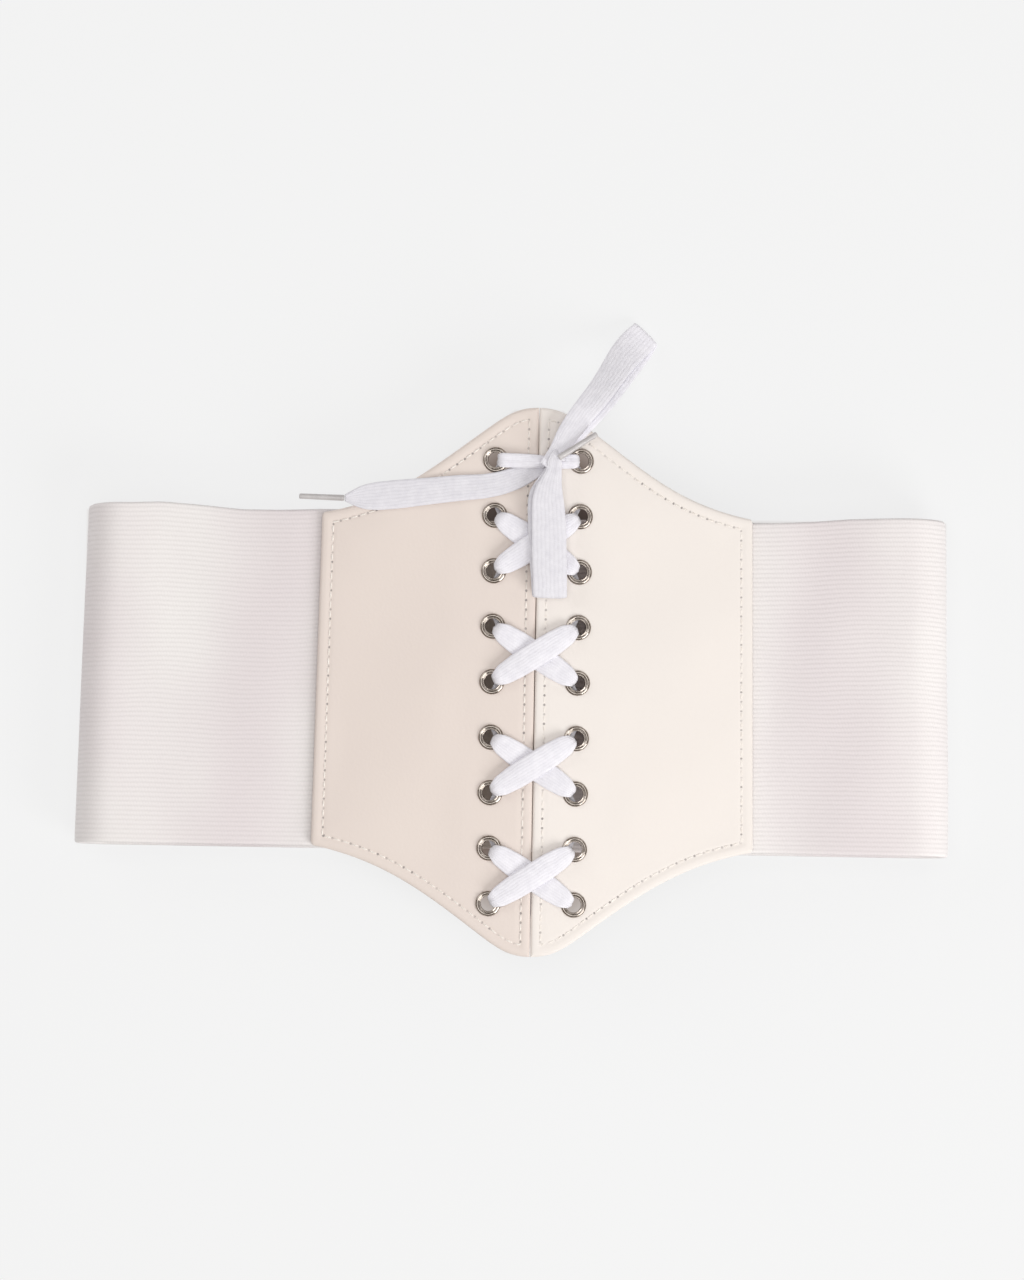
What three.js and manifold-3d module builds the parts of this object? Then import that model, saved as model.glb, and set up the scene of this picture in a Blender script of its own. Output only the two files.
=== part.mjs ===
// A corset belt lying on its back, closed and pressed flat: two stiff front panels of coated cloth
// that meet at a laced seam, two wide elastic bands that fold round at the sides and meet behind at
// one plain clasp, eighteen metal eyelets, and one flat lace that is tied in a bow near the top.
// Millimetres. X runs along the waist to the right, Y up the body, Z up out of the surface that the
// belt lies on. The origin is on that surface, under the middle of the laced seam.
import * as THREE from "three";
import { mergeVertices } from "three/addons/utils/BufferGeometryUtils.js";
import Module from "manifold-3d";

const wasm = await Module();
wasm.setup();

// The air that neighbouring pieces keep between them.
const CLEARANCE = 0.3;

// Front panels, each from the seam to its outer edge, which is sewn over an elastic band.
const PANEL_WIDTH = 79.5;
const PANEL_PEAK = 100;
const PANEL_SHOULDER = 61;
const PANEL_THICKNESS = 2.2;
const PANEL_CORNER_RADIUS = 2;
const PANEL_RISE = 5.5;
const PANEL_CURL = 0.3;
const SEAM_GAP = 0.8;

// The flank from the peak to the shoulder, as shares of the width and of the peak's extra height.
const FLANK = [
  { across: 0, rise: 1 },
  { across: 0.113, rise: 1 },
  { across: 0.164, rise: 0.903 },
  { across: 0.302, rise: 0.697 },
  { across: 0.541, rise: 0.333 },
  { across: 0.7, rise: 0.118 },
];
const FLANK_STEPS = 7;

// Elastic bands. A reach is from the seam to the outermost face of the fold at half height, and a
// slant is how much further out the fold stands at the lower edge than at the upper one.
const BAND_HEIGHT = 122;
const BAND_THICKNESS = 1.6;
const BAND_OVERLAP = 12;
const FOLD_RADIUS = 12;
const LEFT_REACH = 165.5;
const RIGHT_REACH = 150.5;
const LEFT_SLANT = 3.3;
const RIGHT_SLANT = 4;
const FRONT_DIP = 3.2;
const EDGE_FLARE = 2;
const BACK_DROP = 1.2;
const FRONT_STEPS = 9;
const FOLD_STEPS = 12;

// The clasp behind, a strip with a slot along each side that the bands are sewn into.
const CLASP_WIDTH = 40;
const CLASP_HEIGHT = 120;
const CLASP_FLANGE = 1.2;
const CLASP_WEB = 8;
const CLASP_RAMP = 18;

// Eyelets, in rows on both sides of the seam.
const EYELET_ROWS = 9;
const EYELET_PITCH = 20.2;
const EYELET_OFFSET = 15.5;
const EYELET_BORE_RADIUS = 2.75;
const EYELET_BARREL_WALL = 0.4;
const EYELET_RIM_RADIUS = 4.65;
const EYELET_RIM_HEIGHT = 0.9;
const EYELET_WASHER_RADIUS = 4.4;
const EYELET_WASHER_THICKNESS = 0.5;
const EYELET_SIDES = 12;
const HOLE_SIDES = 20;

// The lace: flat where it is free, narrower where it is laced, and bunched inside the eyelets.
const LACE_WIDTH = 10.4;
const LACE_THICKNESS = 1;
const LACED_WIDTH = 8.5;
const LACED_THICKNESS = 1.2;
const BUNCHED_WIDTH = 3;
const BUNCHED_THICKNESS = 1.6;
const LACE_LEAN = 0.5;

// The bow: a small knot a little below the top eyelets, two flattened loops, a long end and a short
// one, each with an aglet.
const KNOT_X = 3.5;
const KNOT_DROP = 1.5;
const KNOT_RADIUS_X = 4.2;
const KNOT_RADIUS_Y = 4.6;
const KNOT_RADIUS_Z = 3.2;
const LOOP_WIDTH = 14.4;
const LOOP_PLY_STEP = 1.6;
const UPPER_LOOP_REACH = 59.7;
const UPPER_LOOP_ANGLE = 53.5;
const LOWER_LOOP_REACH = 48;
const LOWER_LOOP_ANGLE = -89;
const AGLET_RADIUS = 1.15;
const AGLET_LENGTH = 16.5;
const AGLET_SIDES = 10;

// The upper loop runs over the panel's edge and hangs down to the surface. It goes along its reach,
// its height is a share of the height that it leaves the knot at, and its width one of LOOP_WIDTH.
const UPPER_LOOP = [
  { along: 0.095, height: 1, width: 0.4 },
  { along: 0.2, height: 0.985, width: 0.62 },
  { along: 0.318, height: 0.965, width: 0.72 },
  { along: 0.42, height: 0.92, width: 0.74 },
  { along: 0.536, height: 0.77, width: 0.79 },
  { along: 0.653, height: 0.515, width: 0.88 },
  { along: 0.77, height: 0.25, width: 0.94 },
  { along: 0.87, height: 0.075, width: 0.93 },
  { along: 0.94, height: 0.012, width: 0.88 },
  { along: 0.98, height: 0, width: 0.84 },
];

// The lower loop lies on the laced cross below the knot. Its lift is a share of that cross's height.
const LOWER_LOOP = [
  { along: 0.12, lift: 0.92, width: 0.66 },
  { along: 0.22, lift: 1, width: 0.88 },
  { along: 0.36, lift: 1.03, width: 1.02 },
  { along: 0.55, lift: 1, width: 1 },
  { along: 0.72, lift: 0.99, width: 1 },
  { along: 0.85, lift: 0.93, width: 0.97 },
  { along: 0.925, lift: 0.76, width: 0.93 },
  { along: 0.975, lift: 0.6, width: 0.9 },
];

// The long end comes out from under the knot and lies flat along the left panel. Its route is
// chosen by hand, as shares of its reach to the left of the knot and of its fall below it, and its
// width is a share of the lace's.
const LONG_END_REACH = 73.7;
const LONG_END_FALL = 13.3;
const LONG_END = [
  { along: 0.04, fall: 0.128, width: 0.45 },
  { along: 0.142, fall: 0.35, width: 0.78 },
  { along: 0.231, fall: 0.53, width: 0.82 },
  { along: 0.319, fall: 0.625, width: 0.86 },
  { along: 0.427, fall: 0.669, width: 0.91 },
  { along: 0.577, fall: 0.767, width: 0.94 },
  { along: 0.726, fall: 0.865, width: 1.01 },
  { along: 0.834, fall: 0.932, width: 1 },
  { along: 0.909, fall: 0.97, width: 0.88 },
  { along: 0.963, fall: 0.992, width: 0.53 },
  { along: 1, fall: 1, width: 0.25 },
];
const LONG_AGLET_ANGLE = 178.5;
const LONG_AGLET_DROOP = 5;

// The short end is pulled up to its aglet, which leaves the knot over the upper loop's root.
const SHORT_AGLET_ANGLE = 33;
const SHORT_AGLET_DROOP = 1;

const MATERIALS = {
  panel: new THREE.MeshStandardMaterial({ color: 0xefe6dd, roughness: 0.42, metalness: 0 }),
  elastic: new THREE.MeshStandardMaterial({ color: 0xece7e7, roughness: 0.9, metalness: 0 }),
  clasp: new THREE.MeshStandardMaterial({ color: 0xeae2da, roughness: 0.5, metalness: 0 }),
  nickel: new THREE.MeshStandardMaterial({ color: 0xcfc8c0, roughness: 0.22, metalness: 1 }),
  lace: new THREE.MeshStandardMaterial({ color: 0xefedf3, roughness: 0.85, metalness: 0 }),
  aglet: new THREE.MeshStandardMaterial({ color: 0xcdcbcc, roughness: 0.35, metalness: 0 }),
};

const SIDES = [
  { name: "left", sign: -1, reach: LEFT_REACH, slant: LEFT_SLANT },
  { name: "right", sign: 1, reach: RIGHT_REACH, slant: RIGHT_SLANT },
];

const part = new THREE.Group();

function addMesh(name, geometry, material) {
  geometry.computeVertexNormals();
  const mesh = new THREE.Mesh(geometry, material);
  mesh.name = name;
  part.add(mesh);
  return mesh;
}

// Heights of the front, by the distance from the seam

const bandTop = BAND_THICKNESS / 2 + 2 * FOLD_RADIUS;
const bandAtPanel = bandTop - FRONT_DIP;
const ridgeUnder = bandAtPanel + BAND_THICKNESS / 2 + CLEARANCE + PANEL_RISE;

// How far the panel has sunk below its ridge: part of it is straight, and part curls with the square.
function panelDrop(u) {
  const share = u / PANEL_WIDTH;
  return PANEL_RISE * ((1 - PANEL_CURL) * share + PANEL_CURL * share * share);
}

function panelSlope(u) {
  return (PANEL_RISE / PANEL_WIDTH) * (1 - PANEL_CURL + (2 * PANEL_CURL * u) / PANEL_WIDTH);
}

const panelUnder = (x) => ridgeUnder - panelDrop(Math.abs(x));
const panelTop = (x) => panelUnder(x) + PANEL_THICKNESS;

// Closed meshes from sections

// Joins sections of the same number of corners, in order, and closes both ends.
function loft(sections) {
  const n = sections[0].length;
  const positions = sections.flat().flatMap((p) => [p.x, p.y, p.z]);
  const index = [];
  for (let i = 0; i < sections.length - 1; i++) {
    for (let j = 0; j < n; j++) {
      const a = i * n + j;
      const b = i * n + ((j + 1) % n);
      index.push(a, b, b + n, a, b + n, a + n);
    }
  }
  const last = (sections.length - 1) * n;
  for (let j = 1; j < n - 1; j++) {
    index.push(0, j + 1, j, last, last + j, last + j + 1);
  }
  const geometry = new THREE.BufferGeometry();
  geometry.setAttribute("position", new THREE.Float32BufferAttribute(positions, 3));
  geometry.setIndex(index);
  return outward(geometry);
}

// Turns every face round if the closed mesh is inside out, which its signed volume shows.
function outward(geometry) {
  const p = geometry.getAttribute("position");
  const index = geometry.index.array;
  const corner = (i) => new THREE.Vector3().fromBufferAttribute(p, index[i]);
  let volume = 0;
  for (let i = 0; i < index.length; i += 3) {
    volume += corner(i).dot(corner(i + 1).cross(corner(i + 2)));
  }
  if (volume < 0) {
    for (let i = 0; i < index.length; i += 3) {
      [index[i + 1], index[i + 2]] = [index[i + 2], index[i + 1]];
    }
  }
  return geometry;
}

function merged(geometry) {
  const bare = geometry.clone();
  bare.deleteAttribute("normal");
  bare.deleteAttribute("uv");
  return outward(mergeVertices(bare));
}

function toSolid(geometry) {
  const bare = merged(geometry);
  return new wasm.Manifold(
    new wasm.Mesh({
      numProp: 3,
      vertProperties: new Float32Array(bare.getAttribute("position").array),
      triVerts: new Uint32Array(bare.index.array),
    }),
  );
}

function fromSolid(solid) {
  const mesh = solid.getMesh();
  const geometry = new THREE.BufferGeometry();
  geometry.setAttribute("position", new THREE.BufferAttribute(mesh.vertProperties, mesh.numProp));
  geometry.setIndex(new THREE.BufferAttribute(mesh.triVerts, 1));
  return geometry;
}

// Front panels

// The panel's upper edge from the seam to its outer edge: x is the distance from the seam.
function flankPoints() {
  const inner = SEAM_GAP / 2;
  const place = ({ across, rise }) => [
    inner + across * (PANEL_WIDTH - inner),
    PANEL_SHOULDER + rise * (PANEL_PEAK - PANEL_SHOULDER),
  ];
  const [start, a, b, middle, c, d] = FLANK.map(place);
  const path = new THREE.Path();
  path.moveTo(...start);
  path.bezierCurveTo(...a, ...b, ...middle);
  path.bezierCurveTo(...c, ...d, PANEL_WIDTH - PANEL_CORNER_RADIUS, PANEL_SHOULDER);
  path.quadraticCurveTo(
    PANEL_WIDTH,
    PANEL_SHOULDER,
    PANEL_WIDTH,
    PANEL_SHOULDER - PANEL_CORNER_RADIUS,
  );
  return path.getPoints(FLANK_STEPS);
}

const rowY = (row) => ((EYELET_ROWS + 1) / 2 - row) * EYELET_PITCH;

// Puts something that is made round the Y axis into an eyelet's place, square to the panel there.
function placeAtEyelet(thing, sign, row) {
  const x = sign * EYELET_OFFSET;
  const tilt = sign * Math.atan(panelSlope(EYELET_OFFSET));
  thing.position.set(x, rowY(row), panelUnder(x) + PANEL_THICKNESS / 2);
  thing.rotation.set(Math.PI / 2, tilt, 0, "YXZ");
  thing.updateMatrixWorld();
}

function panelGeometry(sign) {
  const sections = flankPoints().map(({ x: u, y: half }) => {
    const x = sign * u;
    return [
      new THREE.Vector3(x, half, panelTop(x)),
      new THREE.Vector3(x, -half, panelTop(x)),
      new THREE.Vector3(x, -half, panelUnder(x)),
      new THREE.Vector3(x, half, panelUnder(x)),
    ];
  });
  const barrel = EYELET_BORE_RADIUS + EYELET_BARREL_WALL;
  const radius = barrel + CLEARANCE / Math.cos(Math.PI / HOLE_SIDES);
  const cylinder = new THREE.CylinderGeometry(radius, radius, 4 * PANEL_THICKNESS, HOLE_SIDES);
  const drill = new THREE.Mesh(cylinder);
  let panel = toSolid(loft(sections));
  for (let row = 1; row <= EYELET_ROWS; row++) {
    placeAtEyelet(drill, sign, row);
    panel = panel.subtract(toSolid(drill.geometry.clone().applyMatrix4(drill.matrixWorld)));
  }
  return fromSolid(panel);
}

for (const { name, sign } of SIDES) {
  addMesh(`panel_${name}`, panelGeometry(sign), MATERIALS.panel);
}

// Elastic bands

const claspX = RIGHT_REACH - LEFT_REACH;
const bandInClasp = CLASP_FLANGE + CLEARANCE + BAND_THICKNESS / 2;

// The height of the band's middle between the panel's edge and the fold's crest: a cubic that
// leaves along the panel's slope and ends level, so it dips between the two.
function frontHeight(share, span) {
  const fall = share * (1 - share) ** 2 * span * panelSlope(PANEL_WIDTH);
  const climb = share * share * (3 - 2 * share);
  return bandAtPanel - fall + FRONT_DIP * climb;
}

const smooth = (share) => share * share * (3 - 2 * share);

// The middle line of a band along one edge, from under the panel round the fold and into the clasp.
// rise is the part of the edge flare that is reached there, and sunk the part of the back's drop.
function bandLine({ sign, reach, slant }, edge) {
  const crest = reach - (edge * slant) / 2 - FOLD_RADIUS - BAND_THICKNESS / 2;
  const line = [];
  for (const inset of [1, 0.5]) {
    const u = PANEL_WIDTH - inset * BAND_OVERLAP;
    line.push({ u, z: panelUnder(u) - CLEARANCE - BAND_THICKNESS / 2, rise: 0, sunk: 0 });
  }
  for (let i = 0; i < FRONT_STEPS; i++) {
    const share = i / FRONT_STEPS;
    const u = PANEL_WIDTH + share * (crest - PANEL_WIDTH);
    const z = frontHeight(share, crest - PANEL_WIDTH);
    line.push({ u, z, rise: smooth(share), sunk: 0 });
  }
  for (let i = 0; i <= FOLD_STEPS; i++) {
    const share = i / FOLD_STEPS;
    const turn = share * Math.PI;
    line.push({
      u: crest + FOLD_RADIUS * Math.sin(turn),
      z: BAND_THICKNESS / 2 + FOLD_RADIUS * (1 + Math.cos(turn)),
      rise: 1 - smooth(share),
      sunk: smooth(share),
    });
  }
  const claspEdge = sign * claspX + CLASP_WIDTH / 2;
  const end = sign * claspX + CLASP_WEB / 2 + CLEARANCE;
  for (const share of [0, 0.25, 0.5, 0.75, 1]) {
    const u = claspEdge + (1 - share) * CLASP_RAMP + CLEARANCE;
    const z = BAND_THICKNESS / 2 + smooth(share) * (bandInClasp - BAND_THICKNESS / 2);
    line.push({ u, z, rise: 0, sunk: 1 });
  }
  line.push({ u: end, z: bandInClasp, rise: 0, sunk: 1 });
  return line;
}

// Both faces of the wall at one edge: the middle line moved half a thickness each way.
function bandFaces(side, edge) {
  const line = bandLine(side, edge);
  return line.map(({ u, z, rise, sunk }, i) => {
    const before = line[Math.max(i - 1, 0)];
    const after = line[Math.min(i + 1, line.length - 1)];
    const along = new THREE.Vector2(after.u - before.u, after.z - before.z).normalize();
    const out = new THREE.Vector2(-along.y, along.x).multiplyScalar(BAND_THICKNESS / 2);
    const flare = edge > 0 ? EDGE_FLARE * rise : 0;
    const y = edge * (BAND_HEIGHT / 2) + flare - BACK_DROP * sunk;
    return [1, -1].map(
      (face) => new THREE.Vector3(side.sign * (u + face * out.x), y, z + face * out.y),
    );
  });
}

for (const side of SIDES) {
  const upper = bandFaces(side, 1);
  const lower = bandFaces(side, -1);
  const sections = upper.map(([outer, inner], i) => [outer, lower[i][0], lower[i][1], inner]);
  addMesh(`elastic_${side.name}`, loft(sections), MATERIALS.elastic);
}

// Clasp

function claspGeometry() {
  const half = CLASP_WIDTH / 2;
  const web = CLASP_WEB / 2;
  const slotLow = CLASP_FLANGE;
  const slotHigh = CLASP_FLANGE + BAND_THICKNESS + 2 * CLEARANCE;
  const top = slotHigh + CLASP_FLANGE;
  const section = new THREE.Shape();
  section.moveTo(-half, 0);
  section.lineTo(half, 0);
  section.lineTo(half, slotLow);
  section.lineTo(web, slotLow);
  section.lineTo(web, slotHigh);
  section.lineTo(half, slotHigh);
  section.lineTo(half, top);
  section.lineTo(-half, top);
  section.lineTo(-half, slotHigh);
  section.lineTo(-web, slotHigh);
  section.lineTo(-web, slotLow);
  section.lineTo(-half, slotLow);
  section.closePath();
  const geometry = new THREE.ExtrudeGeometry(section, { depth: CLASP_HEIGHT, bevelEnabled: false });
  geometry.rotateX(Math.PI / 2);
  geometry.translate(claspX, CLASP_HEIGHT / 2 - BACK_DROP, 0);
  return merged(geometry);
}

addMesh("back_clasp", claspGeometry(), MATERIALS.clasp);

// Eyelets

// The section of an eyelet: a barrel with a crowned rim on the front and a washer behind.
// Its axis is Y, and 0 is the middle of the panel's thickness.
function eyeletGeometry() {
  const bore = EYELET_BORE_RADIUS;
  const barrel = bore + EYELET_BARREL_WALL;
  const seat = PANEL_THICKNESS / 2 + CLEARANCE;
  const crown = seat + EYELET_RIM_HEIGHT;
  const middle = (bore + EYELET_RIM_RADIUS) / 2;
  const edge = 0.3 * (EYELET_RIM_RADIUS - bore);
  const profile = [
    [bore, -seat - EYELET_WASHER_THICKNESS],
    [EYELET_WASHER_RADIUS, -seat - EYELET_WASHER_THICKNESS],
    [EYELET_WASHER_RADIUS, -seat],
    [barrel, -seat],
    [barrel, seat],
    [EYELET_RIM_RADIUS, seat],
    [EYELET_RIM_RADIUS - edge, crown - 0.2 * EYELET_RIM_HEIGHT],
    [middle, crown],
    [bore, crown - 0.4 * EYELET_RIM_HEIGHT],
  ];
  const points = [...profile, profile[0]].map(([r, z]) => new THREE.Vector2(r, z));
  return merged(new THREE.LatheGeometry(points, EYELET_SIDES));
}

for (const { name, sign } of SIDES) {
  for (let row = 1; row <= EYELET_ROWS; row++) {
    placeAtEyelet(addMesh(`eyelet_${name}_${row}`, eyeletGeometry(), MATERIALS.nickel), sign, row);
  }
}

// Ribbons

// A flat closed ribbon through stations of { at, across, width, thickness }. Its section has six
// corners, so that its edges are thinner than its middle.
const SECTION = [
  { across: 0.5, out: 0 },
  { across: 0.42, out: 0.5 },
  { across: -0.42, out: 0.5 },
  { across: -0.5, out: 0 },
  { across: -0.42, out: -0.5 },
  { across: 0.42, out: -0.5 },
];

function ribbonGeometry(stations) {
  const sections = stations.map(({ at, across, width, thickness }, i) => {
    const before = stations[Math.max(i - 1, 0)].at;
    const after = stations[Math.min(i + 1, stations.length - 1)].at;
    const along = after.clone().sub(before).normalize();
    const out = along.clone().cross(across).normalize();
    return SECTION.map((corner) =>
      at
        .clone()
        .addScaledVector(across, corner.across * width)
        .addScaledVector(out, corner.out * thickness),
    );
  });
  return loft(sections);
}

const perpendicular = (v) => new THREE.Vector3(-v.y, v.x, 0).normalize();

// Tips a level direction to lie along the panels at x, and keeps it level over the ridge.
function alongPanel(level, x) {
  const side = THREE.MathUtils.clamp(x / LACED_WIDTH, -1, 1);
  const tipped = level.clone();
  tipped.z = -level.x * side * panelSlope(Math.abs(x));
  return tipped.normalize();
}

// The laced stretch

// The eyelets in the order that the lace visits them: down one strand and back up the other.
function laceVisits() {
  const down = [];
  let sign = -1;
  for (let row = 1; row <= EYELET_ROWS; row++) {
    if (row > 1 && row % 2 === 1) sign = -sign;
    down.push({ sign, row });
  }
  const up = down.map(({ sign: s, row }) => ({ sign: -s, row })).reverse();
  return [...down, ...up].map(({ sign: s, row }) => ({ x: s * EYELET_OFFSET, y: rowY(row) }));
}

const bedLift = CLEARANCE + LACED_THICKNESS / 2;
const stackLift = bedLift + LACED_THICKNESS + CLEARANCE;

// Where the lace leaves an eyelet: out is the distance from the eyelet's axis, and lift the height
// of the lace's middle off the panel's face on that side.
function rimStations(rimRadius, rimHeight) {
  const crestOut = 0.9 * rimRadius;
  const crestLift = CLEARANCE + rimHeight + CLEARANCE + LACED_THICKNESS / 2;
  const [bunched, laced] = [BUNCHED_THICKNESS, LACED_THICKNESS];
  return [
    { out: LACE_LEAN, lift: 0.2 * crestLift, width: BUNCHED_WIDTH, thickness: bunched },
    { out: 0.25 * crestOut, lift: 0.8 * crestLift, width: BUNCHED_WIDTH, thickness: bunched },
    { out: 0.6 * crestOut, lift: 1.1 * crestLift, width: 1.2 * BUNCHED_WIDTH, thickness: laced },
    { out: crestOut, lift: crestLift, width: 0.66 * LACED_WIDTH, thickness: laced },
  ];
}

const FRONT_RIM = rimStations(EYELET_RIM_RADIUS, EYELET_RIM_HEIGHT);
const BACK_RIM = rimStations(EYELET_WASHER_RADIUS, EYELET_WASHER_THICKNESS);

// The stations of one stretch from one eyelet to the next, on the front or behind. The two ends
// mirror each other, and middleLift is the lift where the stretch crosses the other strand.
function laceRun(from, to, front, middleLift) {
  const start = new THREE.Vector3(from.x, from.y, 0);
  const way = new THREE.Vector3(to.x - from.x, to.y - from.y, 0);
  const length = way.length();
  way.normalize();
  const rim = front ? FRONT_RIM : BACK_RIM;
  const crest = rim[rim.length - 1];
  const openOut = crest.out + 0.4 * (length / 2 - crest.out);
  const crossOut = crest.out + 0.7 * (length / 2 - crest.out);
  const openLift = crest.lift + 0.3 * (middleLift - crest.lift);
  const half = [
    ...rim,
    { out: openOut, lift: openLift, width: 0.85 * LACED_WIDTH, thickness: LACED_THICKNESS },
    { out: crossOut, lift: middleLift, width: LACED_WIDTH, thickness: LACED_THICKNESS },
  ];
  const middle = { out: length / 2, lift: middleLift, width: LACED_WIDTH, thickness: LACED_THICKNESS };
  const back = half.map((s) => ({ ...s, out: length - s.out })).reverse();
  return [...half, middle, ...back].map(({ out, lift, width, thickness }) => {
    const at = start.clone().addScaledVector(way, out);
    at.z = front ? panelTop(at.x) + lift : panelUnder(at.x) - lift;
    return { at, across: alongPanel(perpendicular(way), at.x), width, thickness };
  });
}

// The short straight stretch between the knot and a top eyelet.
function knotRun(eyelet) {
  const toKnot = Math.sign(KNOT_X - eyelet.x);
  const end = KNOT_X - toKnot * (KNOT_RADIUS_X + CLEARANCE);
  const crest = FRONT_RIM[FRONT_RIM.length - 1];
  const open = Math.abs(end - eyelet.x);
  const stretch = [
    ...FRONT_RIM,
    { ...crest, out: 0.5 * (crest.out + open), width: 0.8 * LACED_WIDTH },
    { ...crest, out: open, width: 0.75 * LACED_WIDTH },
  ];
  return stretch.map(({ out, lift, width, thickness }) => {
    const x = eyelet.x + toKnot * out;
    const at = new THREE.Vector3(x, eyelet.y, panelTop(x) + lift);
    return { at, across: new THREE.Vector3(0, 1, 0), width, thickness };
  });
}

// The station inside an eyelet, halfway between the lace's two ways out of it.
function boreStation(before, after) {
  const across = before.across.clone();
  if (across.dot(after.across) < 0) across.sub(after.across);
  else across.add(after.across);
  return {
    at: before.at.clone().lerp(after.at, 0.5),
    across: across.normalize(),
    width: BUNCHED_WIDTH,
    thickness: BUNCHED_THICKNESS,
  };
}

function laceStations() {
  const visits = laceVisits();
  const runs = [knotRun(visits[0]).reverse()];
  for (let i = 0; i < visits.length - 1; i++) {
    const [from, to] = [visits[i], visits[i + 1]];
    const front = i % 2 === 1;
    const over = (to.x - from.x) * (to.y - from.y) > 0;
    runs.push(laceRun(from, to, front, front && over ? stackLift : bedLift));
  }
  runs.push(knotRun(visits[visits.length - 1]));
  const stations = [...runs[0]];
  for (const run of runs.slice(1)) {
    const bore = boreStation(stations[stations.length - 1], run[0]);
    for (const station of [bore, ...run]) {
      const across = station.across.clone();
      if (across.dot(stations[stations.length - 1].across) < 0) across.negate();
      stations.push({ ...station, across });
    }
  }
  return stations;
}

addMesh("lace", ribbonGeometry(laceStations()), MATERIALS.lace);

// The bow

const knotTop = panelTop(KNOT_X);
const barTop = FRONT_RIM[FRONT_RIM.length - 1].lift + LACED_THICKNESS / 2;
const plyLift = barTop + CLEARANCE + LACE_THICKNESS / 2;
const knotZ = knotTop + plyLift + LOOP_PLY_STEP / 2;
const knotCentre = new THREE.Vector3(KNOT_X, rowY(1) - KNOT_DROP, knotZ);
const crossTop = stackLift + LACED_THICKNESS / 2 + CLEARANCE + LACE_THICKNESS / 2;

function knotGeometry() {
  const geometry = new THREE.SphereGeometry(1, 12, 8);
  geometry.scale(KNOT_RADIUS_X, KNOT_RADIUS_Y, KNOT_RADIUS_Z);
  geometry.translate(...knotCentre.toArray());
  return merged(geometry);
}

addMesh("bow_knot", knotGeometry(), MATERIALS.lace);

// A flattened loop: one ply out from the knot, a tight turn, and a second ply back on top of it.
// The rows give the lower ply's place along the loop, its height and its width.
function loopStations(angle, reach, rows) {
  const heading = new THREE.Vector3(Math.cos(angle), Math.sin(angle), 0);
  const across = perpendicular(heading);
  const lower = rows.map(({ along, z, width }) => ({
    d: along * reach,
    z,
    width: width * LOOP_WIDTH,
  }));
  const normals = lower.map((_, i) => {
    const before = lower[Math.max(i - 1, 0)];
    const after = lower[Math.min(i + 1, lower.length - 1)];
    return new THREE.Vector2(before.z - after.z, after.d - before.d).normalize();
  });
  const upper = lower.map(({ d, z, width }, i) => ({
    d: d + LOOP_PLY_STEP * normals[i].x,
    z: z + LOOP_PLY_STEP * normals[i].y,
    width,
  }));
  const tip = lower[lower.length - 1];
  const normal = normals[normals.length - 1];
  const radius = LOOP_PLY_STEP / 2;
  const turn = [0.25, 0.5, 0.75].map((share) => {
    const ahead = radius * Math.sin(share * Math.PI);
    const up = radius * (1 - Math.cos(share * Math.PI));
    return {
      d: tip.d + ahead * normal.y + up * normal.x,
      z: tip.z - ahead * normal.x + up * normal.y,
      width: tip.width,
    };
  });
  return [...lower, ...turn, ...upper.reverse()].map(({ d, z, width }) => {
    const at = knotCentre.clone().addScaledVector(heading, d);
    at.z = z;
    return { at, across, width, thickness: LACE_THICKNESS };
  });
}

const loopRest = CLEARANCE + LACE_THICKNESS / 2;
const upperLoopStart = knotCentre.z - LOOP_PLY_STEP / 2;
const upperRows = UPPER_LOOP.map(({ along, height, width }) => ({
  along,
  z: loopRest + height * (upperLoopStart - loopRest),
  width,
}));
const upperAngle = THREE.MathUtils.degToRad(UPPER_LOOP_ANGLE);
const upperLoop = ribbonGeometry(loopStations(upperAngle, UPPER_LOOP_REACH, upperRows));
addMesh("bow_loop_upper", upperLoop, MATERIALS.lace);

const lowerRows = LOWER_LOOP.map(({ along, lift, width }) => ({
  along,
  z: panelTop(0) + lift * crossTop,
  width,
}));
const lowerAngle = THREE.MathUtils.degToRad(LOWER_LOOP_ANGLE);
const lowerLoop = ribbonGeometry(loopStations(lowerAngle, LOWER_LOOP_REACH, lowerRows));
addMesh("bow_loop_lower", lowerLoop, MATERIALS.lace);

// The long end and its aglet

const longEnd = LONG_END.map(({ along, fall }) => {
  const x = KNOT_X - along * LONG_END_REACH;
  const y = knotCentre.y - fall * LONG_END_FALL;
  return new THREE.Vector3(x, y, panelTop(x) + CLEARANCE + LACE_THICKNESS / 2);
});
const longStations = longEnd.map((at, i) => {
  const before = longEnd[Math.max(i - 1, 0)];
  const after = longEnd[Math.min(i + 1, longEnd.length - 1)];
  const across = alongPanel(perpendicular(after.clone().sub(before)), at.x);
  return { at, across, width: LONG_END[i].width * LACE_WIDTH, thickness: LACE_THICKNESS };
});
addMesh("lace_end_long", ribbonGeometry(longStations), MATERIALS.lace);

// A plain plastic tube that leaves its root at an angle in the plan and droops by another, both in
// degrees.
function agletGeometry(root, angle, droop) {
  const turn = THREE.MathUtils.degToRad(angle);
  const fall = THREE.MathUtils.degToRad(droop);
  const way = new THREE.Vector3().setFromSphericalCoords(1, Math.PI / 2 + fall, turn);
  way.set(way.z, way.x, way.y);
  const geometry = new THREE.CylinderGeometry(AGLET_RADIUS, AGLET_RADIUS, AGLET_LENGTH, AGLET_SIDES);
  geometry.applyQuaternion(new THREE.Quaternion().setFromUnitVectors(THREE.Object3D.DEFAULT_UP, way));
  const middle = root.clone().addScaledVector(way, CLEARANCE + AGLET_LENGTH / 2);
  geometry.translate(...middle.toArray());
  return merged(geometry);
}

const longRoot = longEnd[longEnd.length - 1];
const longAglet = agletGeometry(longRoot, LONG_AGLET_ANGLE, LONG_AGLET_DROOP);
addMesh("aglet_long", longAglet, MATERIALS.aglet);

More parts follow.
